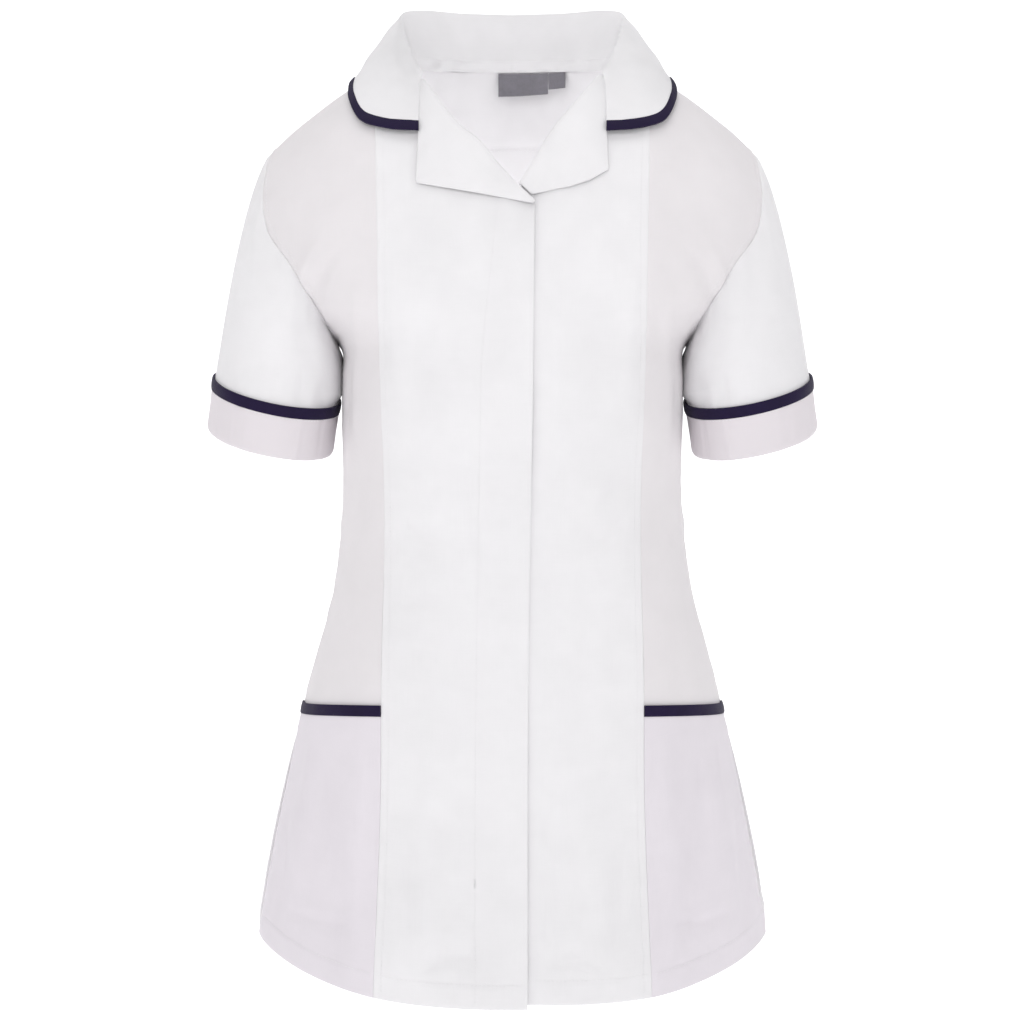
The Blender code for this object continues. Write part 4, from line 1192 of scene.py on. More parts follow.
def front_shell(side, table, roll, closing):
    """One front: the right one with its raised fly band, the left one dipping where it passes under."""
    grid = front_grid(table, roll, closing, UNDER_HEM_RISE if side > 0 else 0.0)
    facing = outward(-1, grid)
    on_ridge = grid[0, :, 1] == 0
    facing[0, on_ridge] = ridge_facing(grid[0, on_ridge, 0])
    if side < 0:
        width = np.linalg.norm(np.diff(grid, axis=1), axis=-1)
        gone = np.pad(np.cumsum(width[:, ::-1], axis=1), ((0, 0), (1, 0)))[:, ::-1]
        fly = 1 - smooth_step((gone - FLY_WIDTH + 0.0004) / 0.0016)
        raised = FLY_RAISE * fly - 0.00025 * bell(gone - FLY_WIDTH, 0.0007)
        thickness = CLOTH + fly * (FLY_DEPTH - CLOTH)
    else:
        raised = left_offset(grid[..., 0])
        thickness = CLOTH
    grid = grid + facing * raised[..., None]
    grid[:, 0, 0] -= SHOWN_SEAM / 2
    grid[0, on_ridge, 1] -= SHOWN_SEAM / 2
    return Shell(grid, facing, thickness)


def left_offset(x):
    """The left front dips where it passes under the right one."""
    start, full = UNDER_DROP_SPAN
    return UNDER_DROP * smooth_step((start - x) / (start - full))


def armhole_turn(shell, body):
    """The body's edge rolls down into the armhole seam, drawn unevenly by the sleeve's ease."""
    gone = shell.edge("last")
    upper = (np.arange(len(gone)) <= UPPER_ROWS)[:, None]
    drawn = waves(5, shell.down, gone * 0.4, (0.014, 0.03), 10)
    ridge = 0.0006 * bell(gone - 0.0045, 0.0022) + 0.0004 * drawn * np.exp(-gone / 0.016)
    return shell.lift(ridge * upper)


def build_back(body, made, stitches, strength):
    """The yoke and the back below it."""
    yoke_out = outward(1, body.yoke)
    on_ridge = body.yoke[0, :, 1] == 0
    yoke_out[0, on_ridge] = ridge_facing(body.yoke[0, on_ridge, 0])
    back_out = outward(1, body.back)
    back_out[body.upper_back - 1 :, [0, -1], 1] = 0
    yoke_out[-1] = back_out[0]
    count, yoke_rows = len(body.loop), len(body.yoke)
    yoke_at = [0] + [count - k for k in range(1, yoke_rows)]
    back_at = [count - yoke_rows + 1 - k for k in range(body.upper_back)]
    yoke, back = body.yoke.copy(), body.back.copy()
    yoke[0, on_ridge, 1] += SHOWN_SEAM / 2
    yoke[-1, :, 2] += SHOWN_SEAM / 2
    back[0, :, 2] -= SHOWN_SEAM / 2
    back[body.upper_back - 1 :, [0, -1], 1] += SHOWN_SEAM / 2
    mirror = np.array([-1, 1, 1])
    for grid, out, places in ((yoke, yoke_out, yoke_at), (back, back_out, back_at)):
        for row, place in enumerate(places):
            out[row, -1], out[row, 0] = body.facing[place], body.facing[place] * mirror
            grid[row, -1] -= body.away[place] * SHOWN_SEAM
            grid[row, 0] -= body.away[place] * mirror * SHOWN_SEAM
    yoke_shell = Shell(yoke, yoke_out)
    drape(yoke_shell, 91, 0.0004, keep=("top", "bottom", "first", "last"))
    yoke_shell.seam_ridge("bottom", 92, 0.0003).round_edges(("first", "last", "top", "bottom"))
    piece = build_shell("shell_back_yoke", yoke_shell, made["White poplin"], ["back_yoke"])
    stitches.append(yoke_shell.line("bottom", EDGE_STITCH, 0.01, 0.99, above=THREAD_RISE))
    inside = yoke_shell.line("bottom", EDGE_STITCH, 0.2, 0.8)
    stitches.append((inside[0] - inside[1] * (CLOTH + THREAD_RISE), -inside[1]))

    shell = Shell(open_vent(back, 1), back_out)
    height = shell.points[..., 2]
    middle = shell.across - shell.across[:, -1:] / 2
    shell.lift(side_fullness(shell, "first") + side_fullness(shell, "last"))
    drape(shell, 93, 0.0007, (0.06, 0.2), keep=("first", "last", "top"))
    shell.crease(np.abs(middle), height, BACK_CREASES, strength)
    shell.pucker("top", 94, 0.0004).pucker("first", 95, 0.0003).pucker("last", 96, 0.0003)
    hem_fold(shell, 97)
    shell.round_edges(("first", "last", "top", "bottom"))
    piece = build_shell("shell_back", shell, made["White poplin"], ["back"])
    stitches.append(shell.line("bottom", HEM_FOLD, 0.01, 0.99, above=THREAD_RISE))


def build_pocket(body, panel, side, made, stitches):
    """Pocket lying on the side front down to the hem, a little full, and the bound band along its mouth."""
    name = "left" if side > 0 else "right"
    grid, facing = panel.points, panel.facing
    start = np.argmin(np.abs(all_levels() - POCKET_TRIM_END))
    top = np.argmin(np.abs(all_levels() - POCKET_TOP))
    part = slice(start, None)
    rows = grid[part] + facing[part] * (SEAM + CLOTH)
    bag = Shell(inset_ends(rows), facing[part])
    full = smooth_step(bag.down / 0.08) * smooth_step((POCKET_DEPTH + 0.01 - bag.down) / 0.05)
    open_side = smooth_step(bag.edge("first") / 0.02) * smooth_step(bag.edge("last") / 0.07)
    bag.lift(POCKET_FULLNESS * full * open_side)
    strength = bpy.context.scene.tunic_cloth.crease_strength
    bag.crease(bag.across, bag.down, POCKET_CREASES, strength * smooth_step(bag.edge("last") / 0.02))
    bag.pucker("first", 103 + side, 0.0002)
    below = (grid[part, -1, 2] < VENT_TOP)[:, None]
    fold = smooth_step(bag.edge("last") / 0.0012) * (1 - smooth_step((bag.edge("last") - 0.0065) / 0.0018))
    bag.lift(0.0005 * fold * below - 0.0008 * bell(bag.edge("last") - 0.0115, 0.0045) * below)
    bag.round_edges(("first",), 0.00016, 0.0009).round_edges(("last", "bottom"))
    bag = bag.mirrored(side)
    # The pocket's finish carries painted shade in its colour
    piece = build_shell(f"shell_pocket_{name}", bag, made["Shaded pocket poplin"], [f"pocket_{name}"])
    band_rows = slice(top, start + 1)
    band = grid[band_rows] + facing[band_rows] * (SEAM + TRIM)
    band = Shell(inset_ends(band), facing[band_rows], TRIM)
    band = Shell(*thicken_rows(band, 10), TRIM)
    band.lift(0.00035 * np.sin(np.pi * band.down / band.down[-1:]) ** 0.5)
    band.lift(0.00012 * waves(107 + side, band.across, band.down, (0.008, 0.03)))
    band = band.mirrored(side)
    node = f"pocket_trim_{name}"
    trim = build_shell(f"shell_{node}", band, made["Navy binding"], [node])
    stitches.append(bag.line("bottom", HEM_FOLD, 0.02, 0.98, above=THREAD_RISE))
    stitches.append(bag.line("last", 0.0058, 0.12, 0.97, above=THREAD_RISE))


# The same, with the distance down the pocket for the height
POCKET_CREASES = [
    (0.020, 0.020, 0.026, 0.130, 0.004, 0.010, 0.0027),
    (0.050, 0.030, 0.044, 0.125, -0.004, 0.012, -0.0027),
    (0.075, 0.015, 0.070, 0.135, 0.004, 0.010, 0.0027),
    (0.012, 0.158, 0.085, 0.150, 0.006, 0.005, -0.0018),
    (0.012, 0.152, 0.085, 0.144, 0.006, 0.005, 0.0012),
]


def thicken_rows(shell, count):
    """The same strip with this many even rows."""
    at = np.linspace(0, 1, count + 1)
    first, last = shell.points[0], shell.points[-1]
    middle = [first + (last - first) * share for share in at]
    outs = [shell.facing[0] + (shell.facing[-1] - shell.facing[0]) * share for share in at]
    return np.array(middle), np.array(outs)


def inset_ends(grid):
    """Draws the first and last columns in a little, so that a patch stays inside its panel's seams."""
    across = np.pad(np.cumsum(np.linalg.norm(np.diff(grid, axis=1), axis=-1), axis=1), ((0, 0), (1, 0)))
    share = across / across[:, -1:]
    flow = np.gradient(grid, axis=1) / np.maximum(np.gradient(across, axis=1), 1e-9)[..., None]
    move = POCKET_INSET_FIRST * (1 - share) - POCKET_INSET_LAST * share
    return grid + flow * move[..., None]


# Sleeves and cuffs


def sleeve_end(angles, grow=0.0, below=0.0):
    """Ring at the sleeve's end or this far below it: its outer end first, then its front."""
    tilt, pitch = np.radians(SLEEVE_TILT), np.radians(SLEEVE_PITCH)
    grow = grow - CUFF_TAPER * below / CUFF_LENGTH
    wide = np.array([np.cos(tilt), 0, np.sin(tilt)]) * (SLEEVE_HALF_WIDTH + grow)
    deep = np.array([0, -np.cos(pitch), -np.sin(pitch)]) * (SLEEVE_HALF_DEPTH + grow)
    centre = SLEEVE_END + ARM_LINE * below
    return centre + np.cos(angles)[:, None] * wide + np.sin(angles)[:, None] * deep


def loop_angles(loop):
    """Angle round the sleeve's end for each armhole point, by its share of the front's or the back's length."""
    steps = np.linalg.norm(np.diff(np.concatenate([loop, loop[:1]]), axis=0), axis=1)
    along = np.concatenate([[0], np.cumsum(steps)])
    front = along[: UPPER_ROWS + 1] / along[UPPER_ROWS] * np.pi
    back = np.pi + (along[UPPER_ROWS:-1] - along[UPPER_ROWS]) / (along[-1] - along[UPPER_ROWS]) * np.pi
    return np.concatenate([front, back[1:]])


# Sleeve folds: angle from the outer side in radians and share of the length at one end, the same at the other end
# and then bend, width and height. Those of the cuffs have the distance down the cuff for the share.
SLEEVE_CREASES = [
    (2.75, 0.02, 2.40, 0.66, 0.10, 0.22, 0.0013),
    (2.42, 0.06, 2.05, 0.58, 0.08, 0.20, -0.0011),
    (2.10, 0.10, 1.70, 0.55, 0.06, 0.22, 0.0008),
    (2.46, 0.62, 2.42, 1.04, 0.03, 0.085, -0.0012),
    (2.24, 0.74, 2.22, 1.04, 0.02, 0.075, 0.0010),
    (2.05, 0.70, 2.04, 1.04, 0.03, 0.070, -0.0009),
    (1.62, 0.80, 1.66, 1.04, 0.02, 0.080, -0.0006),
    (0.70, 0.10, 0.55, 0.60, 0.05, 0.20, 0.0012),
    (0.30, 0.55, 0.25, 0.98, 0.04, 0.16, -0.0009),
    (3.65, 0.03, 4.05, 0.62, -0.08, 0.20, 0.0018),
    (4.00, 0.05, 4.40, 0.55, -0.08, 0.18, -0.0015),
    (4.35, 0.55, 4.30, 0.98, 0.05, 0.14, 0.0016),
    (5.30, 0.25, 5.45, 0.80, 0.05, 0.18, 0.0010),
]
CUFF_CREASES = [
    (2.55, 0.0, 2.45, 0.044, 0.03, 0.20, -0.0008),
    (2.05, 0.0, 2.10, 0.044, 0.03, 0.24, 0.0007),
    (1.20, 0.0, 1.00, 0.044, 0.04, 0.22, -0.0005),
    (0.60, 0.0, 0.75, 0.044, 0.04, 0.26, 0.0005),
    (3.90, 0.0, 4.00, 0.044, 0.03, 0.24, 0.0008),
    (5.20, 0.0, 5.10, 0.044, 0.03, 0.22, -0.0006),
]


def build_sleeves():
    made = finishes()
    body = Body()
    strength = bpy.context.scene.tunic_cloth.crease_strength
    angles = loop_angles(body.loop)
    start = body.loop + body.away * SHOWN_SEAM
    end = sleeve_end(angles)
    reach = np.linalg.norm(end - start, axis=1)[:, None]
    lean = np.radians(48 + 42 * (1 - np.cos(angles)) / 2)
    first = np.stack([np.cos(lean), 0 * lean, -np.sin(lean)], axis=-1) * reach * 0.40
    last = ARM_LINE * reach
    steps = with_edges(SLEEVE_RINGS, 0.19, last=False)
    rings = [glide(t, start, end, first, last) for t in steps**1.15]
    below = [sleeve_end(angles, below=(CUFF_LENGTH - CUFF_TURN) * share) for share in np.linspace(0, 1, 9)[1:]]
    grid = np.array(rings + below)
    facing = grid_facing(grid, ring=True)
    facing = facing * np.sign(np.sum(facing[-1] * (grid[-1] - grid[-1].mean(axis=0))))
    for row in range(6):
        facing[row] += (body.facing - facing[row]) * (1 - row / 6)
    thread = []
    for side in (-1, 1):
        name = "left" if side > 0 else "right"
        shell = Shell(grid, facing, CLOTH, ring=True)
        around = np.broadcast_to(angles, grid.shape[:2])
        share = np.clip(shell.down / np.maximum(shell.down[len(rings) - 1], 1e-6), 0, 1.2)
        shell.crease(around, share, SLEEVE_CREASES, strength * (1.0 if side < 0 else 0.88))
        ease = np.sin(around * 22 + 1.3 * np.sin(around * 3)) * np.exp(-shell.down / 0.018)
        shell.lift(0.00045 * ease * smooth_step(shell.down / 0.004))
        wavy = around_waves(111 + side, around, shell.down, 0.19)
        shell.lift(0.0006 * wavy * smooth_step(shell.down / 0.03) * smooth_step((1.05 - share) / 0.1))
        inner = SLEEVE_INNER * bell(around - np.pi, 0.55) * smooth_step(shell.down / 0.012)
        corner = SLEEVE_CORNER * bell(around - 2.55, 0.42) * smooth_step(shell.down / 0.030)
        shell.lift((inner + corner) * smooth_step((1.0 - share) / 0.20))
        shell.round_edges(("top",), 0.0006, 0.0020)
        shell = shell.mirrored(side)
        node = f"sleeve_{name}"
        piece = build_shell(f"shell_{node}", shell, made["White poplin"], [node])
        build_cuff(name, side, made, strength, thread)
    sew("topstitching_cuffs", thread, made["White thread"])


def around_waves(seed, around, along, length):
    """A smooth uneven field that closes on itself round a tube."""
    draw = np.random.default_rng(seed)
    field = 0 * around
    for turns in range(2, 9):
        phase, drift = draw.uniform(0, 2 * np.pi), draw.uniform(-1, 1)
        field = field + np.sin(around * turns + phase + drift * 2 * np.pi * along / length) / np.sqrt(turns)
    return field / 2


def build_cuff(name, side, made, strength, thread):
    """Turned-back cuff over the sleeve's end, and the binding along its upper edge."""
    angles = np.linspace(0, 2 * np.pi, 192, endpoint=False)
    down = TRIM_WIDTH + (CUFF_LENGTH - TRIM_WIDTH) * with_edges(16, CUFF_LENGTH - TRIM_WIDTH)
    out = unit(sleeve_end(angles) - SLEEVE_END)
    rows = np.array([sleeve_end(angles, CUFF_STEP + FOLDED, step) for step in down])
    shell = Shell(rows, np.tile(out, (len(rows), 1, 1)), FOLDED, ring=True)
    around = np.broadcast_to(angles, rows.shape[:2])
    shell.crease(around, shell.down, CUFF_CREASES, strength)
    shell.lift(0.0005 * around_waves(121 + side, around, shell.down, 0.08))
    gone = shell.edge("bottom")
    shell.lift(0.0004 * smooth_step(gone / 0.004) * (1 - smooth_step(gone / 0.02)))
    shell.round_edges(("bottom",), 0.0007, 0.0022)
    shell = shell.mirrored(side)
    # The cuff's finish carries painted shade in its colour
    piece = build_shell(f"shell_cuff_{name}", shell, made["Shaded cuff poplin"], [f"cuff_{name}"])
    steps = np.linspace(0, TRIM_WIDTH - SHOWN_SEAM, 11)
    rows = np.array([sleeve_end(angles, CUFF_STEP + TRIM, step) for step in steps])
    band = Shell(rows, np.tile(out, (len(rows), 1, 1)), TRIM, ring=True)
    band.lift(0.0005 * np.sin(np.pi * band.down / band.down[-1:]) ** 0.5)
    around = np.broadcast_to(angles, rows.shape[:2])
    band.lift(0.00025 * around_waves(125 + side, around, band.down, 0.05))
    band = band.mirrored(side)
    node = f"cuff_trim_{name}"
    trim = build_shell(f"shell_{node}", band, made["Navy binding"], [node])
    thread.append(shell.line("top", 0.0010, above=THREAD_RISE))


# Lapels


def build_lapels():
    made = finishes()
    for side, roll, table, span in (
        (-1, RIGHT_ROLL, RIGHT_LAPEL, LAPEL_SPAN_RIGHT),
        (1, LEFT_ROLL, LEFT_LAPEL, LAPEL_SPAN_LEFT),
    ):
        name = "left" if side > 0 else "right"
        shell = lapel_shell(side, roll, table, span)
        drape(shell, 131 + side, 0.0004, (0.03, 0.09), keep=("last", "top"))
        shell.round_edges(("last", "top", "bottom"), 0.0006, 0.0014)
        shell = shell.mirrored(side)
        piece = build_shell(f"shell_lapel_{name}", shell, made["White poplin"], [f"lapel_{name}"])


def lapel_shell(hand, roll, edge_table, span):
    """A leaf folded back over its front along the roll line, soft at the fold."""
    shares = np.linspace(0, 1, 71)
    line = [point for point in roll if span[1] - 0.02 < point[0] < NECK_HALF - 0.002]
    fold_x = span[0] + (span[1] - span[0]) * shares
    fold = np.stack([fold_x, curve(sorted(line), fold_x)], axis=-1)
    edge = np.stack([np.interp(shares, *columns(edge_table, k)) for k in (1, 2)], axis=-1)
    along = unit(np.gradient(fold, axis=0))
    into = np.stack([-along[:, 1], along[:, 0]], axis=-1)
    into *= np.sign(np.sum(into * (fold.mean(axis=0) - edge.mean(axis=0))))

    def on_front(place):
        x, z = place[..., 0], place[..., 1]
        points = np.stack([x, depth(-1, x, z), z], axis=-1)
        normals = outward(-1, points)
        lift = left_offset(x) if hand > 0 else FLY_RAISE + 0 * x
        return points + normals * lift[..., None], normals

    seat, normals = on_front(fold)
    opening = np.stack([into[:, 0], 0 * shares, into[:, 1]], axis=-1)
    opening = unit(opening - normals * np.sum(opening * normals, axis=-1, keepdims=True))
    half = CLOTH * normals
    stations = [seat + opening * LAPEL_RIM - half, seat + opening * (LAPEL_RIM - 0.0001) + half]
    facings = [opening, unit(opening + normals * 0.6)]
    width = np.linalg.norm(edge - fold, axis=1)
    for share in (0.0, 0.16, 0.36, 0.58, 0.8, 1.0):
        points, normal = on_front(fold + (edge - fold) * share)
        soft = LAPEL_SOFT * np.sin(np.pi * share) ** 0.7 * np.clip(width / 0.03, 0.2, 1)
        stations.append(points + normal * (FOLDED + LAPEL_LIFT + soft)[..., None])
        facings.append(normal)
    fine = with_edges(26, 0.06, first=False)
    points = np.array([route([station[k] for station in stations], fine) for k in range(len(shares))])
    facing = grid_facing(points)
    outs = np.stack(facings, axis=1)
    facing = facing * np.sign(np.sum(facing[:, -3] * outs[:, -1]))
    return Shell(points, facing, FOLDED)


def columns(table, k):
    rows = np.array(table)
    return rows[:, 0], rows[:, k]


# Collar


def collar_side(shares):
    """Rows of points across the collar on one side, from the seam over the roll to the binding's edge."""
    table = np.array(COLLAR)
    seam, roll, middle, edge = [route(table[:, k], shares) for k in range(4)]
    sheet = []
    for k in range(len(shares)):
        radius = ROLL_RADIUS_BACK + (ROLL_RADIUS_FRONT - ROLL_RADIUS_BACK) * smooth_step(shares[k] * 1.4 - 0.4)
        out = middle[k] - roll[k]
        down = unit(out + (seam[k] - roll[k]))
        out = unit(out - down * np.dot(out, down))
        inside = roll[k] - out * radius + down * radius * 0.9
        outside = roll[k] + out * radius + down * radius * 0.9
        bend = 2 * middle[k] - (outside + edge[k]) / 2
        fine = np.linspace(0, 1, 60)[:, None]
        leaf = outside * (1 - fine) ** 2 + bend * 2 * fine * (1 - fine) + edge[k] * fine**2
        bows = [inside + (roll[k] - inside) * 0.5 - down * radius * 0.25 - out * radius * 0.12]
        bows += [roll[k], outside + (roll[k] - outside) * 0.5 - down * radius * 0.25 + out * radius * 0.12]
        spine = np.concatenate([[seam[k], (seam[k] + inside) / 2, inside], bows, leaf[::12], leaf[-1:]])
        length = np.linalg.norm(np.diff(spine, axis=0), axis=1).sum()
        stops = np.concatenate(
            [
                np.linspace(0, 0.42, 12),
                np.linspace(0.42, 0.66, 22)[1:],
                np.linspace(0.66, 1 - TRIM_WIDTH / length, 22)[1:],
                np.linspace(1 - (TRIM_WIDTH - SHOWN_SEAM) / length, 1, 10),
            ]
        )
        sheet.append(route(spine, stops))
    return np.array(sheet)


def build_collar():
    made = finishes()
    shares = with_edges(COLLAR_STATIONS, 0.24, first=False)
    half = collar_side(shares)
    whole = np.concatenate([half[:0:-1] * np.array([-1, 1, 1]), half])
    facing = -grid_facing(whole)
    middle = len(whole) // 2
    if facing[middle, -1, 1] < 0:
        facing = -facing
    leaf = Shell(whole[:, :LEAF_END], facing[:, :LEAF_END], FOLDED)
    drape(leaf, 141, 0.0006, (0.03, 0.1), keep=("first",))
    leaf.crease(leaf.down - leaf.down[middle : middle + 1], leaf.across, COLLAR_CREASES, 1.0)
    piece = build_shell("shell_collar", leaf, made["White poplin"], ["collar"])
    band = Shell(whole[:, LEAF_END:], facing[:, LEAF_END:], TRIM)
    round_band = np.sin(np.pi * np.linspace(0, 1, band.points.shape[1])) ** 0.5
    band.lift(0.0002 + 0.0004 * round_band[None, :] + 0.0002 * waves(142, band.down, band.across, (0.01, 0.03)))
    trim = build_shell("shell_collar_trim", band, made["Navy binding"], ["collar_trim"])

    part = np.abs(np.arange(len(whole)) - middle) <= int(BINDING_REACH * len(shares))
    low, high = leaf.points[part, 0], leaf.points[part, TAPE_COLUMNS]
    up = unit(high - low)
    rise = np.minimum(BINDING_WIDTH, np.linalg.norm(high - low, axis=1) * 0.9)[:, None]
    lift = leaf.facing[part, TAPE_COLUMNS // 2] * (SEAM * 2 + LABEL)
    steps = with_edges(12, BINDING_WIDTH)
    start = TAPE_START - 0.0020 * np.clip(np.abs(low[:, :1]) / 0.062, 0, 1) ** 4
    rows = np.stack([low + lift + up * (start + (rise - start) * share) for share in steps], axis=1)
    facing = np.repeat(leaf.facing[part, TAPE_COLUMNS // 2][:, None], len(steps), axis=1)
    tape = Shell(rows, facing, LABEL)
    tape.lift(0.0007 * waves(143, tape.down, tape.across, (0.010, 0.030)) * smooth_step(tape.across / 0.002))
    tape.round_edges(("first", "last"), 0.0004)
    build_shell("shell_neck_binding", tape, made["White poplin"], ["neck_binding"])
    thread = [tape.line("first", 0.0012, above=THREAD_RISE), tape.line("last", 0.0012, above=THREAD_RISE)]
    sew("stitching_neck_binding", thread, made["White thread"])


# Collar folds: distance along the collar from the nape and across it from the seam at one end, the same at the
# other end and then bend, width and height
COLLAR_CREASES = [
    (0.120, 0.080, 0.150, 0.110, 0.004, 0.010, 0.0010),
    (-0.120, 0.080, -0.150, 0.110, -0.004, 0.010, 0.0010),
    (0.050, 0.015, 0.060, 0.045, 0.003, 0.012, 0.0008),
    (-0.070, 0.012, -0.055, 0.045, 0.003, 0.010, -0.0008),
]


# Labels


def build_labels():
    """The bare grey label and the tab beside it, hanging inside the nape."""
    made = finishes()
    body = Body()
    edge = body.yoke[0]
    pieces = (("label", LABEL_SPAN, LABEL_DROP, 0.0016), ("size_tab", TAB_SPAN, TAB_DROP, 0.0))
    for name, span, drop, skew in pieces:
        across = np.linspace(*span, 24)
        x, z = np.meshgrid(across, np.linspace(*drop, 16))
        share = (z - drop[0]) / (drop[1] - drop[0])
        z = z + skew * share * (x - span[0]) / (span[1] - span[0])
        y = np.interp(x, edge[:, 0], edge[:, 1]) - CLOTH - SEAM * 1.5
        y = y - 0.0006 * share**2 + 0.0003 * np.sin(x * 260) * share
        points = np.stack([x, y, z], axis=-1)
        shell = Shell(points, np.broadcast_to([0.0, 1.0, 0.0], points.shape), LABEL)
        build_shell(f"shell_{name}", shell, made["Grey label"], [name], sharp=30)


# Stage


def plain_finish(name, colour, roughness, glow=0.0):
    made = bpy.data.materials.new(name)
    made.use_nodes = True
    tree = made.node_tree
    shader = tree.nodes["Principled BSDF"]
    shader.inputs["Roughness"].default_value = roughness
    shader.inputs["Emission Strength"].default_value = glow
    shader.inputs["Emission Color"].default_value = (*colour, 1)
    shader.inputs["Base Color"].default_value = (*colour, 1)
    return made


def area_light(name, place, aim, size, power, spread=180):
    data = bpy.data.lights.new(name, "AREA")
    data.shape = "RECTANGLE"
    data.size, data.size_y = size
    data.energy = power
    data.spread = np.radians(spread)
    lamp = bpy.data.objects.new(name, data)
    bpy.context.scene.collection.objects.link(lamp)
    lamp.location = place
    way = np.array(aim, dtype=float) - np.array(place, dtype=float)
    lamp.rotation_mode = "QUATERNION"
    lamp.rotation_quaternion = Vector(way).to_track_quat("-Z", "Y")
    return lamp


def build_stage():
    stage = bpy.context.scene.tunic_stage
    floor_z = -stage.floor_drop
    wall_y, curve_r = 2.6, 0.8
    profile = [(-4.5, floor_z)]
    for angle in np.linspace(0, np.pi / 2, 16):
        y, z = wall_y - curve_r + curve_r * np.sin(angle), floor_z + curve_r - curve_r * np.cos(angle)
        profile.append((y, z))
    profile.append((wall_y, 3.2))
    points, faces = [], []
    for y, z in profile:
        points += [(-5.0, y, z), (5.0, y, z)]
    for k in range(len(profile) - 1):
        faces.append((2 * k, 2 * k + 1, 2 * k + 3, 2 * k + 2))
    pale = plain_finish("Pale backdrop", (0.95, 0.95, 0.955), 0.9, stage.backdrop_glow)
    sweep = fill_mesh("backdrop", np.array(points), faces, pale)

    world = bpy.data.worlds.new("Studio")
    bpy.context.scene.world = world
    world.use_nodes = True
    back = world.node_tree.nodes["Background"]
    back.inputs["Color"].default_value = (1.0, 0.995, 1.0, 1)
    back.inputs["Strength"].default_value = stage.fill_strength
    area_light("key", (-0.35, -1.9, 1.0), (0, 0, -0.16), (0.7, 0.7), stage.key_power, LIGHT_SPREAD)
    area_light("front", (0.3, -3.0, 0.0), (0, 0, -0.10), (1.6, 1.6), stage.front_power, LIGHT_SPREAD)
    area_light("top", (0.0, -0.6, 1.9), (0, 0, -0.1), (1.6, 1.2), stage.top_power)
    for side in (-1, 1):
        area_light(f"side_{side + 2}", (side * 1.9, -1.5, 0.1), (0, 0, -0.3), (1.4, 1.8), stage.side_power)
    inside = area_light("inside", (0, -0.02, -0.24), (0, 0.085, -0.04), (0.14, 0.08), stage.inside_power)
    inside.visible_camera = False

    camera = bpy.data.cameras.new("camera")
    camera.lens = stage.lens
    camera.sensor_width = 36.0
    camera.clip_end = 60
    eye = bpy.data.objects.new("camera", camera)
    bpy.context.scene.collection.objects.link(eye)
    shift = (PHOTO_SIZE / 2 - PHOTO_CENTRE) / PHOTO_SIZE
    camera.shift_x = -shift
    eye.location = (0.0, -stage.camera_distance, stage.camera_height)
    eye.rotation_euler = (np.pi / 2, 0, 0)
    bpy.context.scene.camera = eye
    bpy.context.scene.view_settings.view_transform = "Standard"
    bpy.context.scene.view_settings.look = "None"
    bpy.context.scene.view_settings.exposure = 0.0
    bpy.context.scene.view_settings.gamma = 1.0


# Settings, operators and panel


class TunicCloth(bpy.types.PropertyGroup):
    """Colours and sewing of the cloth."""

    white: FloatVectorProperty(
        name="White",
        description="Colour of the main cloth",
        default=(0.86, 0.85, 0.865), size=3, min=0, max=1, subtype="COLOR",
    )
    navy: FloatVectorProperty(
        name="Navy",
        description="Colour of the bindings",
        default=(0.010, 0.003, 0.036), size=3, min=0, max=1, subtype="COLOR",
    )
    grey: FloatVectorProperty(
        name="Grey",
        description="Colour of the neck label",
        default=(0.216, 0.207, 0.234), size=3, min=0, max=1, subtype="COLOR",
    )
    stitch_length: FloatProperty(
        name="Stitch",
        description="Length of one stitch",
        default=0.0032, min=0.001, unit="LENGTH",
    )
    crease_strength: FloatProperty(
        name="Creases",
        description="Height of the creases, as a factor",
        default=1.0, min=0, subtype="FACTOR",
    )


class TunicStage(bpy.types.PropertyGroup):
    """Camera, lights and floor."""

    floor_drop: FloatProperty(
        name="Floor",
        description="How far the floor is below the neck",
        default=1.42, min=0.8, unit="LENGTH",
    )
    camera_distance: FloatProperty(
        name="Distance",
        description="Camera to the middle of the garment",
        default=1.98, min=0.5, unit="LENGTH",
    )
    camera_height: FloatProperty(
        name="Height",
        description="Camera height from the neck",
        default=-0.370, unit="LENGTH",
    )
    lens: FloatProperty(name="Lens", description="Focal length in millimetres", default=85.0, min=10)
    key_power: FloatProperty(
        name="Key",
        description="Power of the main light",
        default=0.78, min=0, unit="POWER",
    )
    front_power: FloatProperty(
        name="Front",
        description="Power of the front light",
        default=0.52, min=0, unit="POWER",
    )
    top_power: FloatProperty(
        name="Top",
        description="Power of the light above",
        default=12.5, min=0, unit="POWER",
    )
    side_power: FloatProperty(
        name="Sides",
        description="Power of each side light",
        default=8.0, min=0, unit="POWER",
    )
    inside_power: FloatProperty(
        name="Inside",
        description="Power of the light in the neck",
        default=0.23, min=0, unit="POWER",
    )
    fill_strength: FloatProperty(
        name="Fill",
        description="Strength of the light all round",
        default=0.52, min=0,
    )
    backdrop_glow: FloatProperty(
        name="Backdrop",
        description="Glow that keeps the backdrop pale",
        default=0.50, min=0,
    )


class TUNIC_OT_body(bpy.types.Operator):
    """Build the fronts, side fronts, pockets, yoke and back"""

    bl_idname = "tunic.body"
    bl_label = "Body"

    def execute(self, context):
        build_body()
        return {"FINISHED"}


class TUNIC_OT_sleeves(bpy.types.Operator):
    """Build the sleeves, the cuffs and their bindings"""

    bl_idname = "tunic.sleeves"
    bl_label = "Sleeves"

    def execute(self, context):
        build_sleeves()
        return {"FINISHED"}


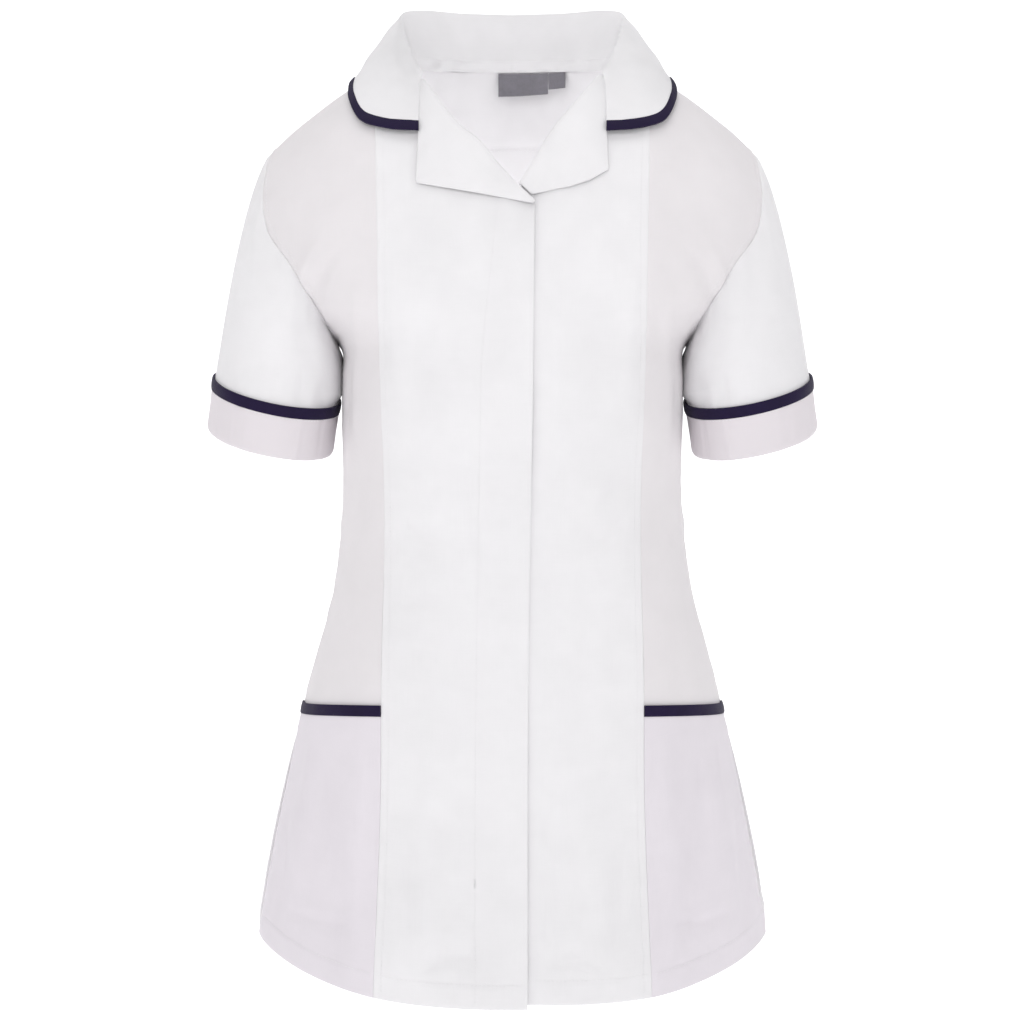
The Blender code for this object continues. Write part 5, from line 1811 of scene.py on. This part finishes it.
class TUNIC_OT_collar(bpy.types.Operator):
    """Build the collar, its binding and the tape over the neck seam"""

    bl_idname = "tunic.collar"
    bl_label = "Collar"

    def execute(self, context):
        build_collar()
        return {"FINISHED"}


class TUNIC_OT_lapels(bpy.types.Operator):
    """Build the two turned-back lapels"""

    bl_idname = "tunic.lapels"
    bl_label = "Lapels"

    def execute(self, context):
        build_lapels()
        return {"FINISHED"}


class TUNIC_OT_labels(bpy.types.Operator):
    """Build the bare neck label and the tab beside it"""

    bl_idname = "tunic.labels"
    bl_label = "Labels"

    def execute(self, context):
        build_labels()
        return {"FINISHED"}


class TUNIC_OT_stage(bpy.types.Operator):
    """Set up the floor, the lights and the camera"""

    bl_idname = "tunic.stage"
    bl_label = "Stage"

    def execute(self, context):
        build_stage()
        return {"FINISHED"}


class TUNIC_PT_panel(bpy.types.Panel):
    """The tunic's settings and its steps"""

    bl_idname = "TUNIC_PT_panel"
    bl_label = "Medical tunic"
    bl_space_type = "VIEW_3D"
    bl_region_type = "UI"
    bl_category = "Tunic"

    def draw(self, context):
        layout = self.layout
        for settings in (context.scene.tunic_cloth, context.scene.tunic_stage):
            for name in settings.__annotations__:
                layout.prop(settings, name)
        for step in STEPS:
            layout.operator(step.bl_idname)


STEPS = (TUNIC_OT_body, TUNIC_OT_sleeves, TUNIC_OT_collar, TUNIC_OT_lapels, TUNIC_OT_labels, TUNIC_OT_stage)
CLASSES = (TunicCloth, TunicStage, *STEPS, TUNIC_PT_panel)


def register():
    for made in CLASSES:
        bpy.utils.register_class(made)
    bpy.types.Scene.tunic_cloth = PointerProperty(type=TunicCloth)
    bpy.types.Scene.tunic_stage = PointerProperty(type=TunicStage)


def unregister():
    del bpy.types.Scene.tunic_stage
    del bpy.types.Scene.tunic_cloth
    for made in reversed(CLASSES):
        bpy.utils.unregister_class(made)


def main():
    register()
    bpy.ops.tunic.body()
    bpy.ops.tunic.sleeves()
    bpy.ops.tunic.collar()
    bpy.ops.tunic.lapels()
    bpy.ops.tunic.labels()
    bpy.ops.tunic.stage()
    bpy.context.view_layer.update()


if __name__ == "__main__":
    main()
